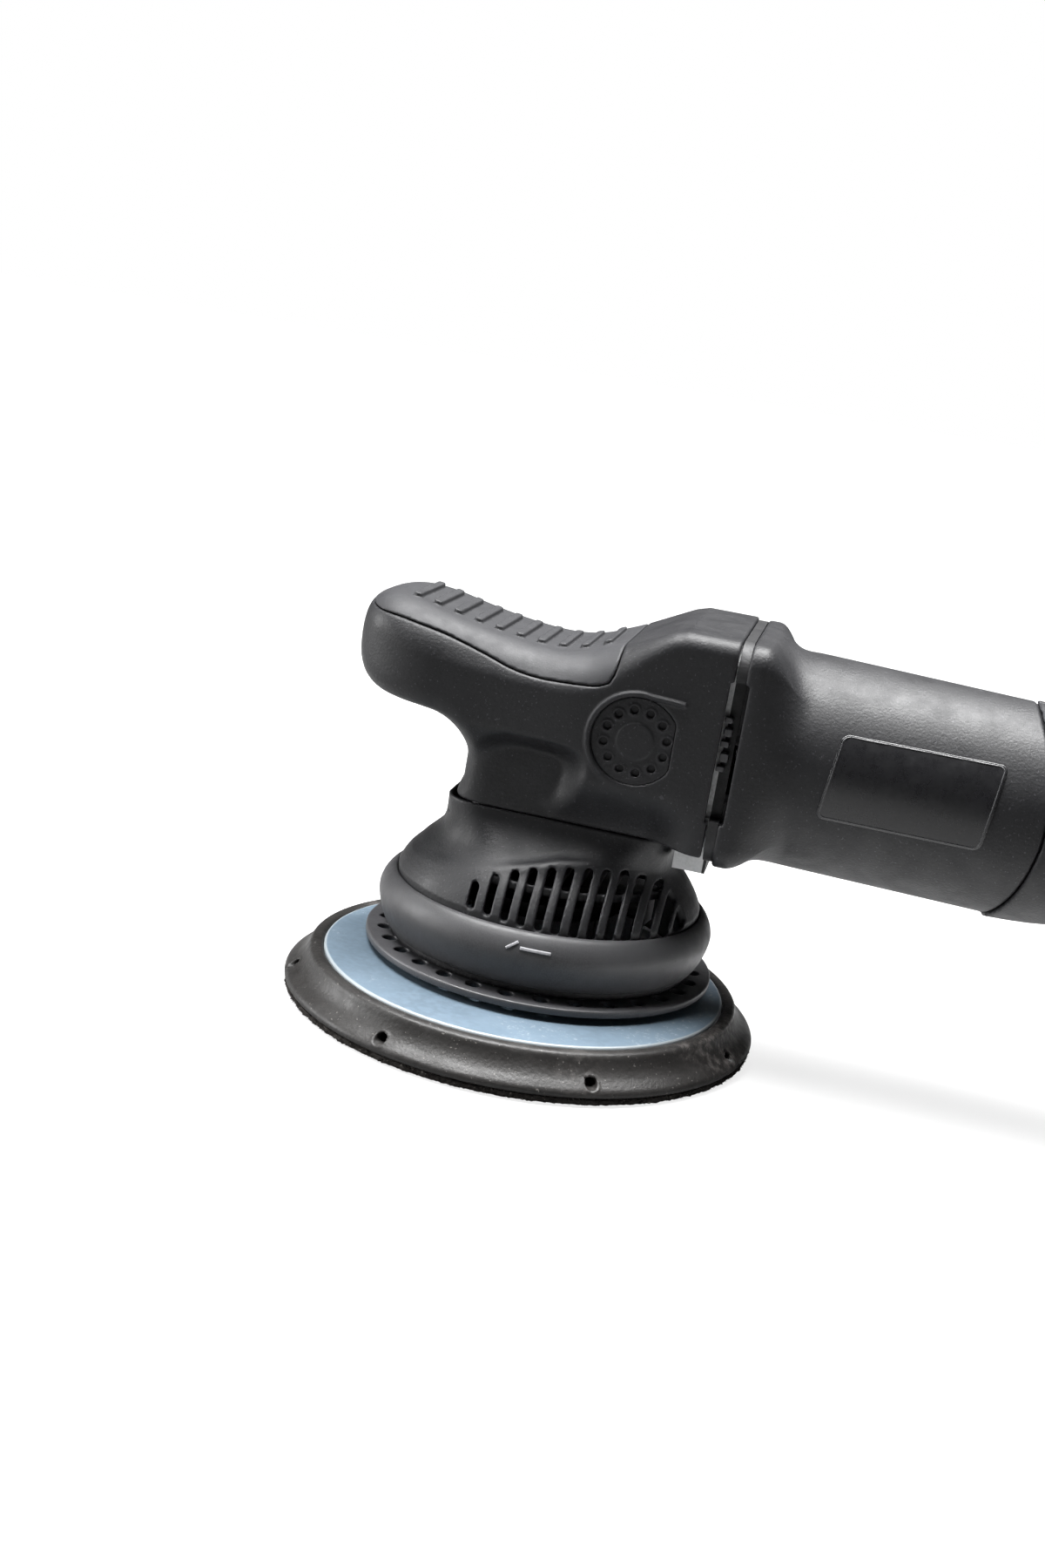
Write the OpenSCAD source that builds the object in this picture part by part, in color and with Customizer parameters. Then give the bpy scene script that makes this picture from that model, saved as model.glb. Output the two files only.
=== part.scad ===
// Dual action polisher: motor barrel, geared head with a ribbed front grip, orbiting backing plate.
// Millimetres. The origin is on the output spindle's axis at the hook face, +X runs back to the rear
// handle, +Z up along the spindle and +Y to the tool's right hand side. The orbit stands near -Y.

/* [Backing plate] */
// Backing plate diameter
plate_d = 150; // [125:1:180]
// Orbit diameter, twice the eccentric throw
orbit_d = 21; // [12:0.5:24]
// Thickness of the hook layer
hook_t = 2.2; // [1.5:0.1:4]
// Diameter of the stiff disc moulded on the foam
disc_d = 127.6; // [100:0.2:150]
// Height of the stiff disc's top face
disc_top = 13.4; // [10:0.1:20]
// Number of vent holes in the foam's edge
foam_holes = 8; // [4:1:12]

/* [Vent ring and skirt] */
// Vent ring outer diameter
ring_d = 112; // [90:1:130]
// Number of holes in the vent ring
ring_holes = 30; // [12:1:40]
// Vent ring hole diameter
ring_hole_d = 4.7; // [2:0.1:8]
// Bumper outer diameter
bumper_d = 107.2; // [90:1:130]
// Slots on each side of the skirt
slots_side = 13; // [5:1:16]
// Slot width
slot_w = 2.6; // [1.5:0.1:5]

/* [Head] */
// Height of the motor axis over the hook face
motor_z = 93.5; // [80:0.5:110]
// Reach of the front grip ahead of the spindle
nose_x = 71.4; // [55:0.2:90]
// Half width of the head cover
head_hw = 34.5; // [28:0.5:45]
// Half width of the neck over the skirt
neck_hw = 27; // [20:0.5:34]
// Wall of the head cover
head_wall = 3; // [2:0.1:5]
// Thickness of the soft front grip
grip_t = 2.2; // [1.5:0.1:4]
// Ribs across the front grip
grip_ribs = 10; // [4:1:16]
// Dimples in each side cap
cap_dimples = 12; // [6:1:20]

/* [Gears] */
// Crown gear teeth
crown_teeth = 36; // [24:1:48]
// Pinion teeth
pinion_teeth = 12; // [8:1:18]
// Gear module
gear_m = 1; // [0.8:0.1:1.2]

/* [Motor] */
// Motor barrel diameter
barrel_d = 66.6; // [50:0.2:80]
// Commutator segments
comm_bars = 24; // [12:1:36]
// Fan blades
fan_blades = 11; // [7:1:17]

/* [Rear handle] */
// Rear end of the handle
handle_end = 326; // [280:1:360]
// Half width of the handle where the hand goes round
handle_hw = 26.5; // [20:0.5:32]
// Wall of the handle shells
handle_wall = 2.6; // [2:0.1:4]
// Cable hole diameter in the gland
cable_d = 8; // [6:0.5:11]

/* [Hidden] */
$fn = 96;

plate_r = plate_d / 2;
disc_r = disc_d / 2;
throw = orbit_d / 2;
orbit_turn = -11;
barrel_r = barrel_d / 2;
hub_z = 23;
bearing_r = 13;
crown_r = crown_teeth * gear_m / 2;
pinion_r = pinion_teeth * gear_m / 2;
mesh_z = motor_z - pinion_r;
part_x = 74.2;
part_r = 68;
slot_mid = 24;
flange_z = 97.4;
slot_pitch = 7.2;

black = [0.16, 0.16, 0.17];
grey = [0.25, 0.25, 0.26];
steel = [0.7, 0.7, 0.72];
cast = [0.62, 0.63, 0.64];
copper = [0.72, 0.42, 0.24];

// ---------- helpers ----------
module at_orbit() { translate([0, -throw, 0]) children(); }
module at_plate() { rotate([0, 0, orbit_turn]) at_orbit() rotate([0, 0, -orbit_turn]) children(); }
module zring(ro, ri, z0, z1) {
  translate([0, 0, z0]) difference() {
    cylinder(r = ro, h = z1 - z0);
    translate([0, 0, -1]) cylinder(r = ri, h = z1 - z0 + 2);
  }
}
module zcyl(r, z0, z1) { translate([0, 0, z0]) cylinder(r = r, h = z1 - z0); }
module xcyl(r, x0, x1) { translate([x0, 0, motor_z]) rotate([0, 90, 0]) cylinder(r = r, h = x1 - x0); }
module xring(ro, ri, x0, x1) {
  difference() { xcyl(ro, x0, x1); xcyl(ri, x0 - 1, x1 + 1); }
}
module ycyl(x, z, r, y0, y1) {
  translate([x, y0, z]) rotate([-90, 0, 0]) cylinder(r = r, h = y1 - y0);
}
// rounded rectangle with true arcs
module rrect(w, h, r) {
  square([w - 2 * r, h], center = true);
  square([w, h - 2 * r], center = true);
  for (sx = [-1, 1], sy = [-1, 1]) translate([sx * (w / 2 - r), sy * (h / 2 - r)]) circle(r = r);
}
// slab along X: a rounded rectangle in Y and Z
module xslab(w, h, r, x0, x1, zc) {
  translate([x0, 0, zc]) rotate([90, 0, 90]) linear_extrude(x1 - x0) rrect(w, h, r);
}
// side profile given in X and Z, run across the tool
module side(pts, hw = 50) {
  translate([0, hw, 0]) rotate([90, 0, 0]) linear_extrude(2 * hw) polygon(pts);
}
module plan(pts, z0, z1) { translate([0, 0, z0]) linear_extrude(z1 - z0) polygon(pts); }
// pan head screw pointing up, its head's underside at the local origin
module screw_up(shank_r, len, head_r, head_h) {
  translate([0, 0, -head_h]) cylinder(r = head_r, h = head_h);
  difference() {
    translate([0, 0, -0.5]) cylinder(r = shank_r, h = len + 0.5);
    translate([0, 0, -1]) cylinder(r = shank_r * 0.2, h = 1);
  }
}
// helical wire spring along +Z from the local origin
module coil(r, wire, turns, h, n = 20, m = 8) {
  total = turns * n;
  pts = [for (i = [0 : total]) for (j = [0 : m - 1])
    let (a = 360 * i / n, b = 360 * j / m, rr = r + wire * cos(b))
    [rr * cos(a), rr * sin(a), h * i / total + wire * sin(b)]];
  sides = [for (i = [0 : total - 1]) for (j = [0 : m - 1]) for (t = [0, 1])
    let (p = i * m + j, q = i * m + (j + 1) % m)
    t == 0 ? [p, p + m, q] : [q, p + m, q + m]];
  caps = concat([for (j = [1 : m - 2]) [0, j, j + 1]],
    [for (j = [1 : m - 2]) [total * m, total * m + j + 1, total * m + j]]);
  polyhedron(points = pts, faces = concat(sides, caps));
}

// ---------- backing plate ----------
module hook_face() {
  color([0.12, 0.11, 0.11]) at_plate() zring(plate_r - 0.6, 8, 0, hook_t);
}
module plate_foam() {
  color([0.25, 0.21, 0.18]) at_plate() difference() {
    rotate_extrude() polygon([[16.3, hook_t], [plate_r - 0.4, hook_t], [plate_r, 3.0],
      [plate_r - 0.1, 4.2], [plate_r - 1.4, 5.4], [plate_r - 3.4, 6.9], [plate_r - 5.1, 8.6],
      [plate_r - 6.3, 10.6], [plate_r - 6.8, 12.2], [plate_r - 8.0, 13.0], [disc_r + 1.6, 13.0],
      [disc_r + 0.3, 12.2], [disc_r + 0.3, disc_top - 2.5], [16.3, disc_top - 2.5]]);
    for (i = [0 : foam_holes - 1]) rotate([0, 0, -157 + 360 / foam_holes * i])
      translate([60, 0, 6]) rotate([0, 90, 0]) cylinder(r = 1.6, h = 20);
  }
}
module plate_disc() {
  color([0.5, 0.57, 0.62]) at_plate() zring(disc_r, 16.3, disc_top - 2.5, disc_top);
}
module plate_hub() {
  color(cast) at_plate() difference() {
    union() {
      zcyl(16, 7.5, disc_top + 0.5);
      zcyl(25, disc_top, 16.4);
      zcyl(21, 16, 19.2);
    }
    zcyl(4.1, 5, 21);
    for (a = [118, -2, -122]) rotate([0, 0, a]) translate([14, 0, 16.5]) cylinder(r = 2.4, h = 4);
  }
}
module plate_washer() { color(steel) at_plate() zring(7.8, 4.2, 6.2, 7.5); }
module plate_screw() {
  color(steel) at_plate() difference() {
    union() { zcyl(6.5, 1.6, 6.2); zcyl(3.9, 6, 37); }
    zcyl(3, 1, 4.6);
  }
}
module drive_plate() {
  color(steel) at_plate() difference() {
    translate([0, 0, 19.2]) linear_extrude(3) hull()
      for (a = [118, -2, -122]) rotate(a) translate([14, 0]) circle(r = 5.5, $fn = 32);
    zcyl(5.1, 18, 23);
    for (a = [118, -2, -122]) rotate([0, 0, a]) translate([14, 0, 18]) cylinder(r = 2.4, h = 6);
  }
}
module drive_pins() {
  color(steel) at_plate() for (a = [118, -2, -122])
    rotate([0, 0, a]) translate([14, 0, 16.6]) cylinder(r = 2.35, h = 6);
}
module pad_spindle() {
  color(steel) at_plate() difference() {
    union() { zcyl(4.96, 19.2, 42.6); zcyl(7.6, 22.2, 24); }
    zcyl(4, 18, 38.5);
    zring(6, 4.5, 41.5, 42.2);
  }
}
module spindle_circlip() { color(steel) at_plate() zring(6.6, 4.5, 41.55, 42.15); }
module pad_bearings() {
  color(steel) at_plate() for (z = [24.4, 33]) difference() {
    zcyl(bearing_r - 0.02, z, z + 8);
    zcyl(5, z - 1, z + 9);
    zring(11.2, 7, z - 0.1, z + 0.4);
    zring(11.2, 7, z + 7.6, z + 8.1);
  }
}

// ---------- eccentric and output ----------
module eccentric_hub() {
  color(cast) rotate([0, 0, orbit_turn]) difference() {
    union() {
      at_orbit() zcyl(19.6, hub_z, 46.5);
      at_orbit() zcyl(26.8, 38, 42.5);
      for (p = [[-12.1, 1.4], [1.05, 6.7], [13.2, 0.1]])
        translate([p[0], p[1] + 3, 38]) cylinder(r = 8, h = 4.5);
      zcyl(12, 42, 55.5);
    }
    at_orbit() zcyl(bearing_r, hub_z - 1, 44);
    zcyl(6, 46.6, 56);
    for (p = [[-13.6, 4.4], [1.05, 11.7], [15.2, 3.1]]) translate([p[0], p[1], 0]) {
      zcyl(1.9, 22, 41.5);
      zcyl(3.6, 22, 29.55);
    }
  }
}
// fan shaped balance weight opposite the eccentric
module counterweight() {
  color([0.55, 0.55, 0.56]) rotate([0, 0, orbit_turn]) difference() {
    translate([0, 0, 26]) linear_extrude(11.6) intersection() {
      polygon([[-31, -5], [31, -5], [31.5, 4], [27, 22], [26.5, 32], [17, 41], [-17, 41], [-26.5, 32],
        [-27, 22], [-31.5, 4]]);
      circle(r = 41.2);
    }
    at_orbit() zcyl(19.9, 25, 39);
    for (p = [[-13.6, 4.4], [1.05, 11.7], [15.2, 3.1]]) translate([p[0], p[1], 0]) {
      zcyl(2.1, 25, 39);
      zcyl(4.25, 25, 29.5);
    }
    for (p = [[-25.7, 9.4], [27.2, 5.2], [3.6, 36]]) translate([p[0], p[1], 0]) zcyl(2.5, 25.5, 26.4);
  }
}
module counterweight_screws() {
  color(steel) rotate([0, 0, orbit_turn]) for (p = [[-13.6, 4.4], [1.05, 11.7], [15.2, 3.1]])
    translate([p[0], p[1], 29.5]) screw_up(1.85, 11, 3.4, 2.6);
}
module output_spindle() {
  color(steel) difference() {
    union() {
      zcyl(5.98, 46.8, 58.6);
      zcyl(5.96, 58.5, 76);
      zcyl(5.96, 75.5, 92);
      zcyl(3.96, 91.5, 107.2);
      zcyl(8.2, 68.3, 70.4);
    }
    translate([0, 0, 106]) cylinder(r = 1.2, h = 2);
  }
}
// face gear: straight radial teeth on a disc, in mesh with the pinion on its +X side
module crown_gear() {
  root_z = mesh_z - 1.2 * gear_m;
  color(steel) {
    difference() {
      union() {
        zcyl(crown_r + 2.1, root_z - 5.5, root_z);
        zcyl(11, 70.6, root_z - 0.5);
      }
      zcyl(5.97, 70, root_z + 1);
      zcyl(crown_r - 3.4, root_z - 2, root_z + 1);
      zring(crown_r - 4, 11, root_z - 6, root_z - 3.5);
    }
    for (i = [0 : crown_teeth - 1]) rotate([0, 0, (i + 0.5) * 360 / crown_teeth])
      translate([crown_r - 2.4, 0, root_z - 0.3]) rotate([90, 0, 90]) linear_extrude(4.4)
        polygon([[-0.8, 0], [0.8, 0], [0.66, 0.3], [0.3, 2.3], [-0.3, 2.3], [-0.66, 0.3]]);
  }
}
module lower_bearing() {
  color(steel) difference() {
    zcyl(13.98, 60, 68);
    zcyl(6, 59, 69);
    zring(12.2, 8, 59.9, 60.4);
    zring(12.2, 8, 67.6, 68.1);
  }
}
module upper_bearing() {
  color(steel) difference() { zcyl(10.98, 99.5, 106.5); zcyl(4, 99, 107); }
}

// ---------- head ----------
module gear_case() {
  color(cast) difference() {
    union() {
      zcyl(19, 57, 74);
      zcyl(23.8, 70, 104);
      zcyl(15, 103, 112);
      xcyl(22, 0, 46);
      xslab(69, 67, 10, 48.3, 51.2, flange_z);
      xslab(61.6, 59.6, 7, 44, 48.6, flange_z);
      translate([39, -20, 58]) cube([10, 40, 16]);
      for (p = [[-22, 12], [-22, -12], [22, 12], [22, -12]]) translate([p[0], p[1], 61.55]) cylinder(r = 4.5, h = 13.45);
    }
    zcyl(14, 59.8, 72);
    zcyl(8.6, 56, 61);
    zcyl(21.6, 71.5, 92);
    zcyl(18, 91, 98);
    zcyl(11, 97, 107.5);
    xcyl(10.5, 13.6, 34.2);
    xcyl(15, 34, 43.4);
    xcyl(16.5, 43.2, 52);
    for (s = [-1, 1]) {
      translate([46.4, s * 33.5 - 4.5, 78]) cube([6, 9, 42]);
      for (z = [-1, 1]) translate([43, s * 26, flange_z + z * 25]) rotate([0, 90, 0]) cylinder(r = 2.2, h = 10);
    }
    for (p = [[-22, 12], [-22, -12], [22, 12], [22, -12]]) translate([p[0], p[1], 60]) cylinder(r = 1.6, h = 12);
  }
}
module skirt() {
  color(black) difference() {
    union() {
      rotate_extrude() polygon([[0, 18.2], [48.6, 18.2], [48.6, 36.4], [48.4, 38.5], [46.6, 42],
        [44.6, 45.2], [42.2, 48.4], [39.4, 51.8], [36.5, 54.6], [33, 57.2], [29, 59.4], [25.2, 61], [0, 61]]);
      translate([1.7, 0, 52.4]) linear_extrude(13.8) rrect(72.6, 2 * neck_hw, 17);
    }
    rotate_extrude() polygon([[0, 17], [46, 17], [46, 35.6], [43.8, 38.8], [41.8, 42.2],
      [39.4, 45.4], [36.6, 48.8], [33.6, 51.4], [29.8, 54], [22.5, 56], [0, 56]]);
    translate([1.7, 0, 61.5]) linear_extrude(8) rrect(67.4, 2 * neck_hw - 5.2, 14.4);
    zcyl(19.3, 50, 66);
    for (p = [[-22, 12], [-22, -12], [22, 12], [22, -12]]) translate([p[0], p[1], 0]) {
      zcyl(1.9, 54, 62);
      zcyl(3.5, 50, 57.3);
    }
    for (s = [-1, 1], i = [0 : slots_side - 1])
      rotate([0, 0, s * (-90 + slot_mid + (i - (slots_side - 1) / 2) * slot_pitch)])
        translate([34, -slot_w / 2, 38.7]) cube([26, slot_w, i == 0 || i == slots_side - 1 ? 6 : 11.4]);
  }
}
module bumper() {
  color([0.14, 0.14, 0.15]) rotate_extrude() polygon([[48.7, 20.6], [51, 20.6], [52.6, 21.6],
    [bumper_d / 2 - 0.2, 24], [bumper_d / 2, 28], [bumper_d / 2 - 0.6, 32], [52, 35], [50.4, 36.6], [48.7, 37]]);
}
module vent_ring() {
  color([0.22, 0.22, 0.23]) difference() {
    union() { zring(ring_d / 2, 42.7, 15.6, 17.9); zring(45.4, 43.2, 17.5, 21); }
    for (i = [0 : ring_holes - 1]) rotate([0, 0, i * 360 / ring_holes])
      translate([50, 0, 15]) cylinder(r = ring_hole_d / 2, h = 4);
  }
}
module skirt_screws() {
  color(steel) for (p = [[-22, 12], [-22, -12], [22, 12], [22, -12]])
    translate([p[0], p[1], 57.3]) screw_up(1.55, 13, 3.2, 2.4);
}
// upper half of the head, drawn in by t from its outer faces
module head_upper(t) {
  intersection() {
    side([[-nose_x + t, 107], [-71.0 + t, 111.5], [-69.6 + t, 116.5 - t / 2], [-66.8 + t, 120.6 - t],
      [-62, 123.2 - t], [-56, 124.6 - t], [-46, 124.6 - t], [-35, 123.2 - t], [-20, 120.6 - t],
      [-8, 119.2 - t], [0, 119.6 - t], [8, 121.8 - t], [15.5, 124.2 - t], [23, 127 - t],
      [28, 129.4 - t], [33, 131.2 - t], [48.2, 131.2 - t], [48.2, 86 + t], [-30, 86 + t],
      [-36, 90.6 + t], [-44, 92.4 + t], [-54, 93.4 + t], [-62.6, 95 + t], [-67.4 + t / 2, 97.8 + t], [-70.4 + t, 102 + t / 2]]);
    plan(concat([for (a = [90 : 7.5 : 270]) [-39 + (nose_x - 39 - t) * cos(a), (32.4 - t) * sin(a)]],
      [[0, -33.4 + t], [8, -head_hw + t], [49, -head_hw + t], [49, head_hw - t], [8, head_hw - t],
      [0, 33.4 - t]]), 60, 140);
    xslab(2 * (head_hw + 0.5 - t), 100, 12, -80, 60, 82 - t);
  }
}
module above_seam() {
  side([[-80, 124], [-66, 119.6], [-51, 118.6], [-39, 116.6], [-26.5, 113], [-16.8, 110.2],
    [-7.4, 109.6], [4.8, 111], [13.5, 113.8], [16, 116.2], [17, 121], [17.8, 140], [-80, 140]]);
}
module head_cover() {
  color(black) difference() {
    union() {
      head_upper(0);
      translate([4, 0, 66.5]) linear_extrude(26) rrect(73, 2 * neck_hw, 14);
      xslab(69, 67, 10, 38.6, 48.2, flange_z);
    }
    difference() { above_seam(); head_upper(grip_t); }
    intersection() { head_upper(head_wall); translate([-80, -50, 85]) cube([128.2, 100, 60]); }
    translate([4, 0, 60]) linear_extrude(35) rrect(67.4, 2 * neck_hw - 5.6, 11);
    translate([30, -neck_hw + 2.8, 60]) cube([14, 2 * neck_hw - 5.6, 34]);
    xslab(63, 61, 8, 41, 50, flange_z);
    translate([38.8, -20.2, 50]) cube([12, 40.4, 25]);
    for (s = [-1, 1]) {
      translate([22.7, s * (head_hw - 1.4), 97]) rotate([s * -90, 0, 0]) linear_extrude(6) cap_outline(0.3);
      translate([47.2, s * 33.5 - 4.5, 78]) cube([6, 9, 42]);
    }
  }
}
module front_grip() {
  color(grey) {
    intersection() {
      difference() { head_upper(0); head_upper(grip_t - 0.02); }
      above_seam();
    }
    for (i = [0 : grip_ribs - 1]) intersection() {
      difference() { head_upper(-0.9); head_upper(0.6); }
      translate([-52.6 + i * 6.55, -13, 100]) cube([2.4, 26, 40]);
    }
  }
}
// D outline with the round side forward
module cap_outline(g) {
  intersection() {
    circle(r = 14 + g);
    translate([-20, -20]) square([33 + g, 40]);
  }
}
module side_caps() {
  color(black) for (s = [-1, 1]) difference() {
    translate([22.7, s * (head_hw - 1.3), 97]) rotate([s * -90, 0, 0]) union() {
      linear_extrude(1.9) cap_outline(0);
      cylinder(r = 5.7, h = 2.4);
    }
    for (i = [0 : cap_dimples - 1]) translate([22.7 + 9.3 * cos(i * 360 / cap_dimples),
      s * (head_hw + 1), 97 + 9.3 * sin(i * 360 / cap_dimples)]) rotate([s * 90, 0, 0])
      cylinder(r = 1.3, h = 1.2);
  }
}

// ---------- motor ----------
module pinion() {
  color(steel) difference() {
    translate([crown_r - 2.7, 0, motor_z]) rotate([0, 90, 0]) linear_extrude(5.3) union() {
      circle(r = pinion_r - 1.2);
      for (i = [0 : pinion_teeth - 1]) rotate(i * 360 / pinion_teeth)
        polygon([[pinion_r - 1.5, -0.7], [pinion_r - 1.2, -0.66], [pinion_r + 0.85, -0.26],
          [pinion_r + 0.85, 0.26], [pinion_r - 1.2, 0.66], [pinion_r - 1.5, 0.7]]);
    }
    xcyl(3.5, 14, 24);
  }
}
module motor_shaft() {
  color(steel) {
    xcyl(3.48, 14.8, 21);
    xcyl(4.96, 20.9, 60.6);
    xcyl(5.4, 60.5, 117);
    xcyl(5, 116.9, 131);
    xcyl(3.96, 130.9, 142);
  }
}
module front_bearing() {
  color(steel) difference() { xcyl(14.98, 34.2, 43.2); xcyl(5, 33, 44); }
}
module rear_bearing() {
  color(steel) difference() { xcyl(10.98, 133.6, 140.6); xcyl(4, 133, 142); }
}
module fan() {
  color([0.3, 0.3, 0.32]) {
    difference() {
      union() { xcyl(8.5, 53, 60); xcyl(27, 58.4, 60); }
      xcyl(4.98, 52, 61);
    }
    for (i = [0 : fan_blades - 1]) translate([53, 0, motor_z]) rotate([i * 360 / fan_blades, 0, 0])
      translate([0, -0.7, 8]) cube([5.5, 1.4, 18.6]);
  }
}
module fan_baffle() { color(black) xring(30.25, 21, 61.2, 62.4); }
module armature_core() {
  color([0.5, 0.5, 0.52]) difference() {
    xcyl(17, 69, 107);
    xcyl(5.42, 68, 108);
    for (i = [0 : 11]) translate([68, 0, motor_z]) rotate([i * 30, 0, 0])
      translate([0, -1.3, 10]) cube([40, 2.6, 9]);
  }
}
module armature_windings() {
  color(copper) {
    xring(15.4, 5.45, 63.4, 68.9);
    xring(15, 5.45, 107.1, 115.6);
    for (i = [0 : 11]) translate([68.5, 0, motor_z]) rotate([i * 30, 0, 0])
      translate([0, -1.25, 10.1]) cube([39, 2.5, 5.2]);
  }
}
module commutator() {
  color(copper) difference() {
    union() { xcyl(11, 118, 130); xcyl(13, 117, 118.6); }
    xcyl(5.02, 116.5, 131);
    for (i = [0 : comm_bars - 1]) translate([118.8, 0, motor_z]) rotate([i * 360 / comm_bars, 0, 0])
      translate([0, -0.3, 10.2]) cube([12, 0.6, 2]);
  }
}
module stator_core() {
  color([0.45, 0.45, 0.47]) difference() {
    xcyl(30.2, 69, 107);
    xcyl(17.6, 68, 108);
    for (s = [-1, 1]) translate([68, s * 21.5 - 3.1, motor_z - 16]) cube([40, 6.2, 32]);
  }
}
// two saddle windings: straight legs in the core's windows, arcs over each end
module field_coils() {
  color(copper) for (s = [-1, 1]) {
    for (z = [-1, 1]) translate([64.5, s * 21.5 - 2.6, motor_z + z * 12.4 - 3]) cube([47, 5.2, 6]);
    for (x = [64.5, 107.6]) intersection() {
      xring(26.8, 18.4, x, x + 4.4);
      translate([x - 1, s > 0 ? 10 : -40, motor_z - 20]) cube([8, 30, 40]);
    }
  }
}
module brush_holders() {
  color([0.7, 0.6, 0.3]) for (s = [-1, 1]) difference() {
    translate([119.6, s > 0 ? 12.4 : -29.5, motor_z - 5.4]) cube([8.8, 17.1, 10.8]);
    translate([120.6, s > 0 ? 11 : -28.9, motor_z - 4.1]) cube([6.8, 17.9, 8.2]);
  }
}
module brushes() {
  color([0.2, 0.2, 0.2]) for (s = [-1, 1]) difference() {
    translate([120.7, s > 0 ? 9 : -22, motor_z - 4]) cube([6.6, 13, 8]);
    xcyl(11.35, 119, 129);
  }
}
module brush_springs() {
  color(steel) for (s = [-1, 1]) translate([124, s * 22.5, motor_z]) rotate([s * -90, 0, 0])
    coil(2.4, 0.4, 4, 5.8);
}
module case_screws() {
  color(steel) for (s = [-1, 1], z = [-1, 1]) translate([44, s * 26, flange_z + z * 25]) rotate([0, 90, 0])
    screw_up(2.1, 14, 3.6, 2.6);
}
module motor_housing() {
  color(black) difference() {
    union() {
      xslab(70, 68, 11, 51.4, 59.5, flange_z);
      translate([59.4, 0, motor_z]) rotate([0, 90, 0]) cylinder(r1 = 34, r2 = barrel_r, h = 10);
      intersection() {
        xcyl(barrel_r, 60, 146);
        ycyl(part_x, 95.5, part_r - 0.2, -50, 50);
      }
      xcyl(31.2, 125, 146);
    }
    difference() {
      xcyl(30.3, 50, 147);
      xring(32, 29, 131, 134);
      xring(14, 11, 131, 141.4);
      for (i = [0 : 2]) translate([131, 0, motor_z]) rotate([60 + i * 120, 0, 0])
        translate([0, -3, 12]) cube([4, 6, 20]);
    }
    for (s = [-1, 1], z = [-1, 1]) translate([50, s * 26, flange_z + z * 25]) rotate([0, 90, 0])
      cylinder(r = 2.15, h = 9);
  }
}
module label(s) {
  intersection() {
    xring(barrel_r + 0.5, barrel_r + 0.02, 79, 127);
    translate([78, s > 0 ? 0 : -50, 85]) cube([50, 50, 25.5]);
  }
}
module label_left() { color([0.08, 0.08, 0.08]) label(-1); }
module label_right() { color([0.08, 0.08, 0.08]) label(1); }

// ---------- rear handle ----------
// handle body drawn in by t: a turned form flattened by a side and a plan profile
module handle_body(t) {
  intersection() {
    translate([0, 0, motor_z]) rotate([0, 90, 0]) rotate_extrude() polygon([[0, 125 + t], [34 - t, 125 + t],
      [34 - t, 140], [32.4 - t, 158], [31 - t, 180], [30.4 - t, 230], [31.4 - t, 270], [33.2 - t, 300],
      [33 - t, 316 - t / 2], [29.4 - t, handle_end - 3 - t], [24 - t, handle_end - t], [0, handle_end - t]]);
    side([[120, 128 - t], [150, 126.6 - t], [180, 122.4 - t], [230, 120.6 - t], [280, 122.6 - t],
      [330, 124.4 - t], [330, 57.6 + t], [300, 60.6 + t], [270, 65 + t], [240, 66.2 + t], [170, 66.2 + t],
      [150, 62.6 + t], [120, 59.2 + t]]);
    plan([[120, -34.4 + t], [150, -33.4 + t], [180, -27.6 + t], [220, -handle_hw + t], [260, -27.2 + t],
      [300, -30.4 + t], [330, -30.6 + t], [330, 30.6 - t], [300, 30.4 - t], [260, 27.2 - t],
      [220, handle_hw - t], [180, 27.6 - t], [150, 33.4 - t], [120, 34.4 - t]], 40, 140);
  }
}
module handle_shell() {
  difference() {
    handle_body(0);
    handle_body(handle_wall);
    ycyl(part_x, 95.5, part_r, -50, 50);
    xcyl(31.4, 120, 147);
    translate([164, -10, 50]) cube([79, 20, 22]);
    translate([273, -5.2, 115]) cube([26, 10.4, 12]);
    xcyl(9.7, 318, 330);
    ycyl(214, 88, 5.8, -40, 0);
    ycyl(172, 69, 2.05, -12.5, 12.5);
    for (i = [0 : 5], s = [-1, 1]) translate([150 + i * 4.6, s * 30 - 6, motor_z - 12]) cube([2.2, 12, 24]);
  }
}
module handle_posts(y0, y1, r) {
  for (p = [[160, 74], [160, 112], [250, 73.4], [236, 111], [312, 72], [312, 112]])
    ycyl(p[0], p[1], r, y0, y1);
}
module handle_left() {
  color(black) difference() {
    union() {
      intersection() { handle_shell(); translate([110, -50, 40]) cube([230, 49.98, 100]); }
      intersection() { handle_body(1); handle_posts(-40, -0.02, 4.2); }
    }
    handle_posts(-50, 2, 1.7);
    handle_posts(-50, -18, 3.4);
  }
}
module handle_right() {
  color(black) difference() {
    union() {
      intersection() { handle_shell(); translate([110, 0.02, 40]) cube([230, 49.98, 100]); }
      intersection() { handle_body(1); handle_posts(0.02, 40, 4.2); }
    }
    handle_posts(-2, 14, 1.7);
  }
}
module handle_screws() {
  color(steel) for (p = [[160, 74], [160, 112], [250, 73.4], [236, 111], [312, 72], [312, 112]])
    translate([p[0], -18, p[1]]) rotate([-90, 0, 0]) screw_up(1.6, 31, 3.2, 2.4);
}
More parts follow.
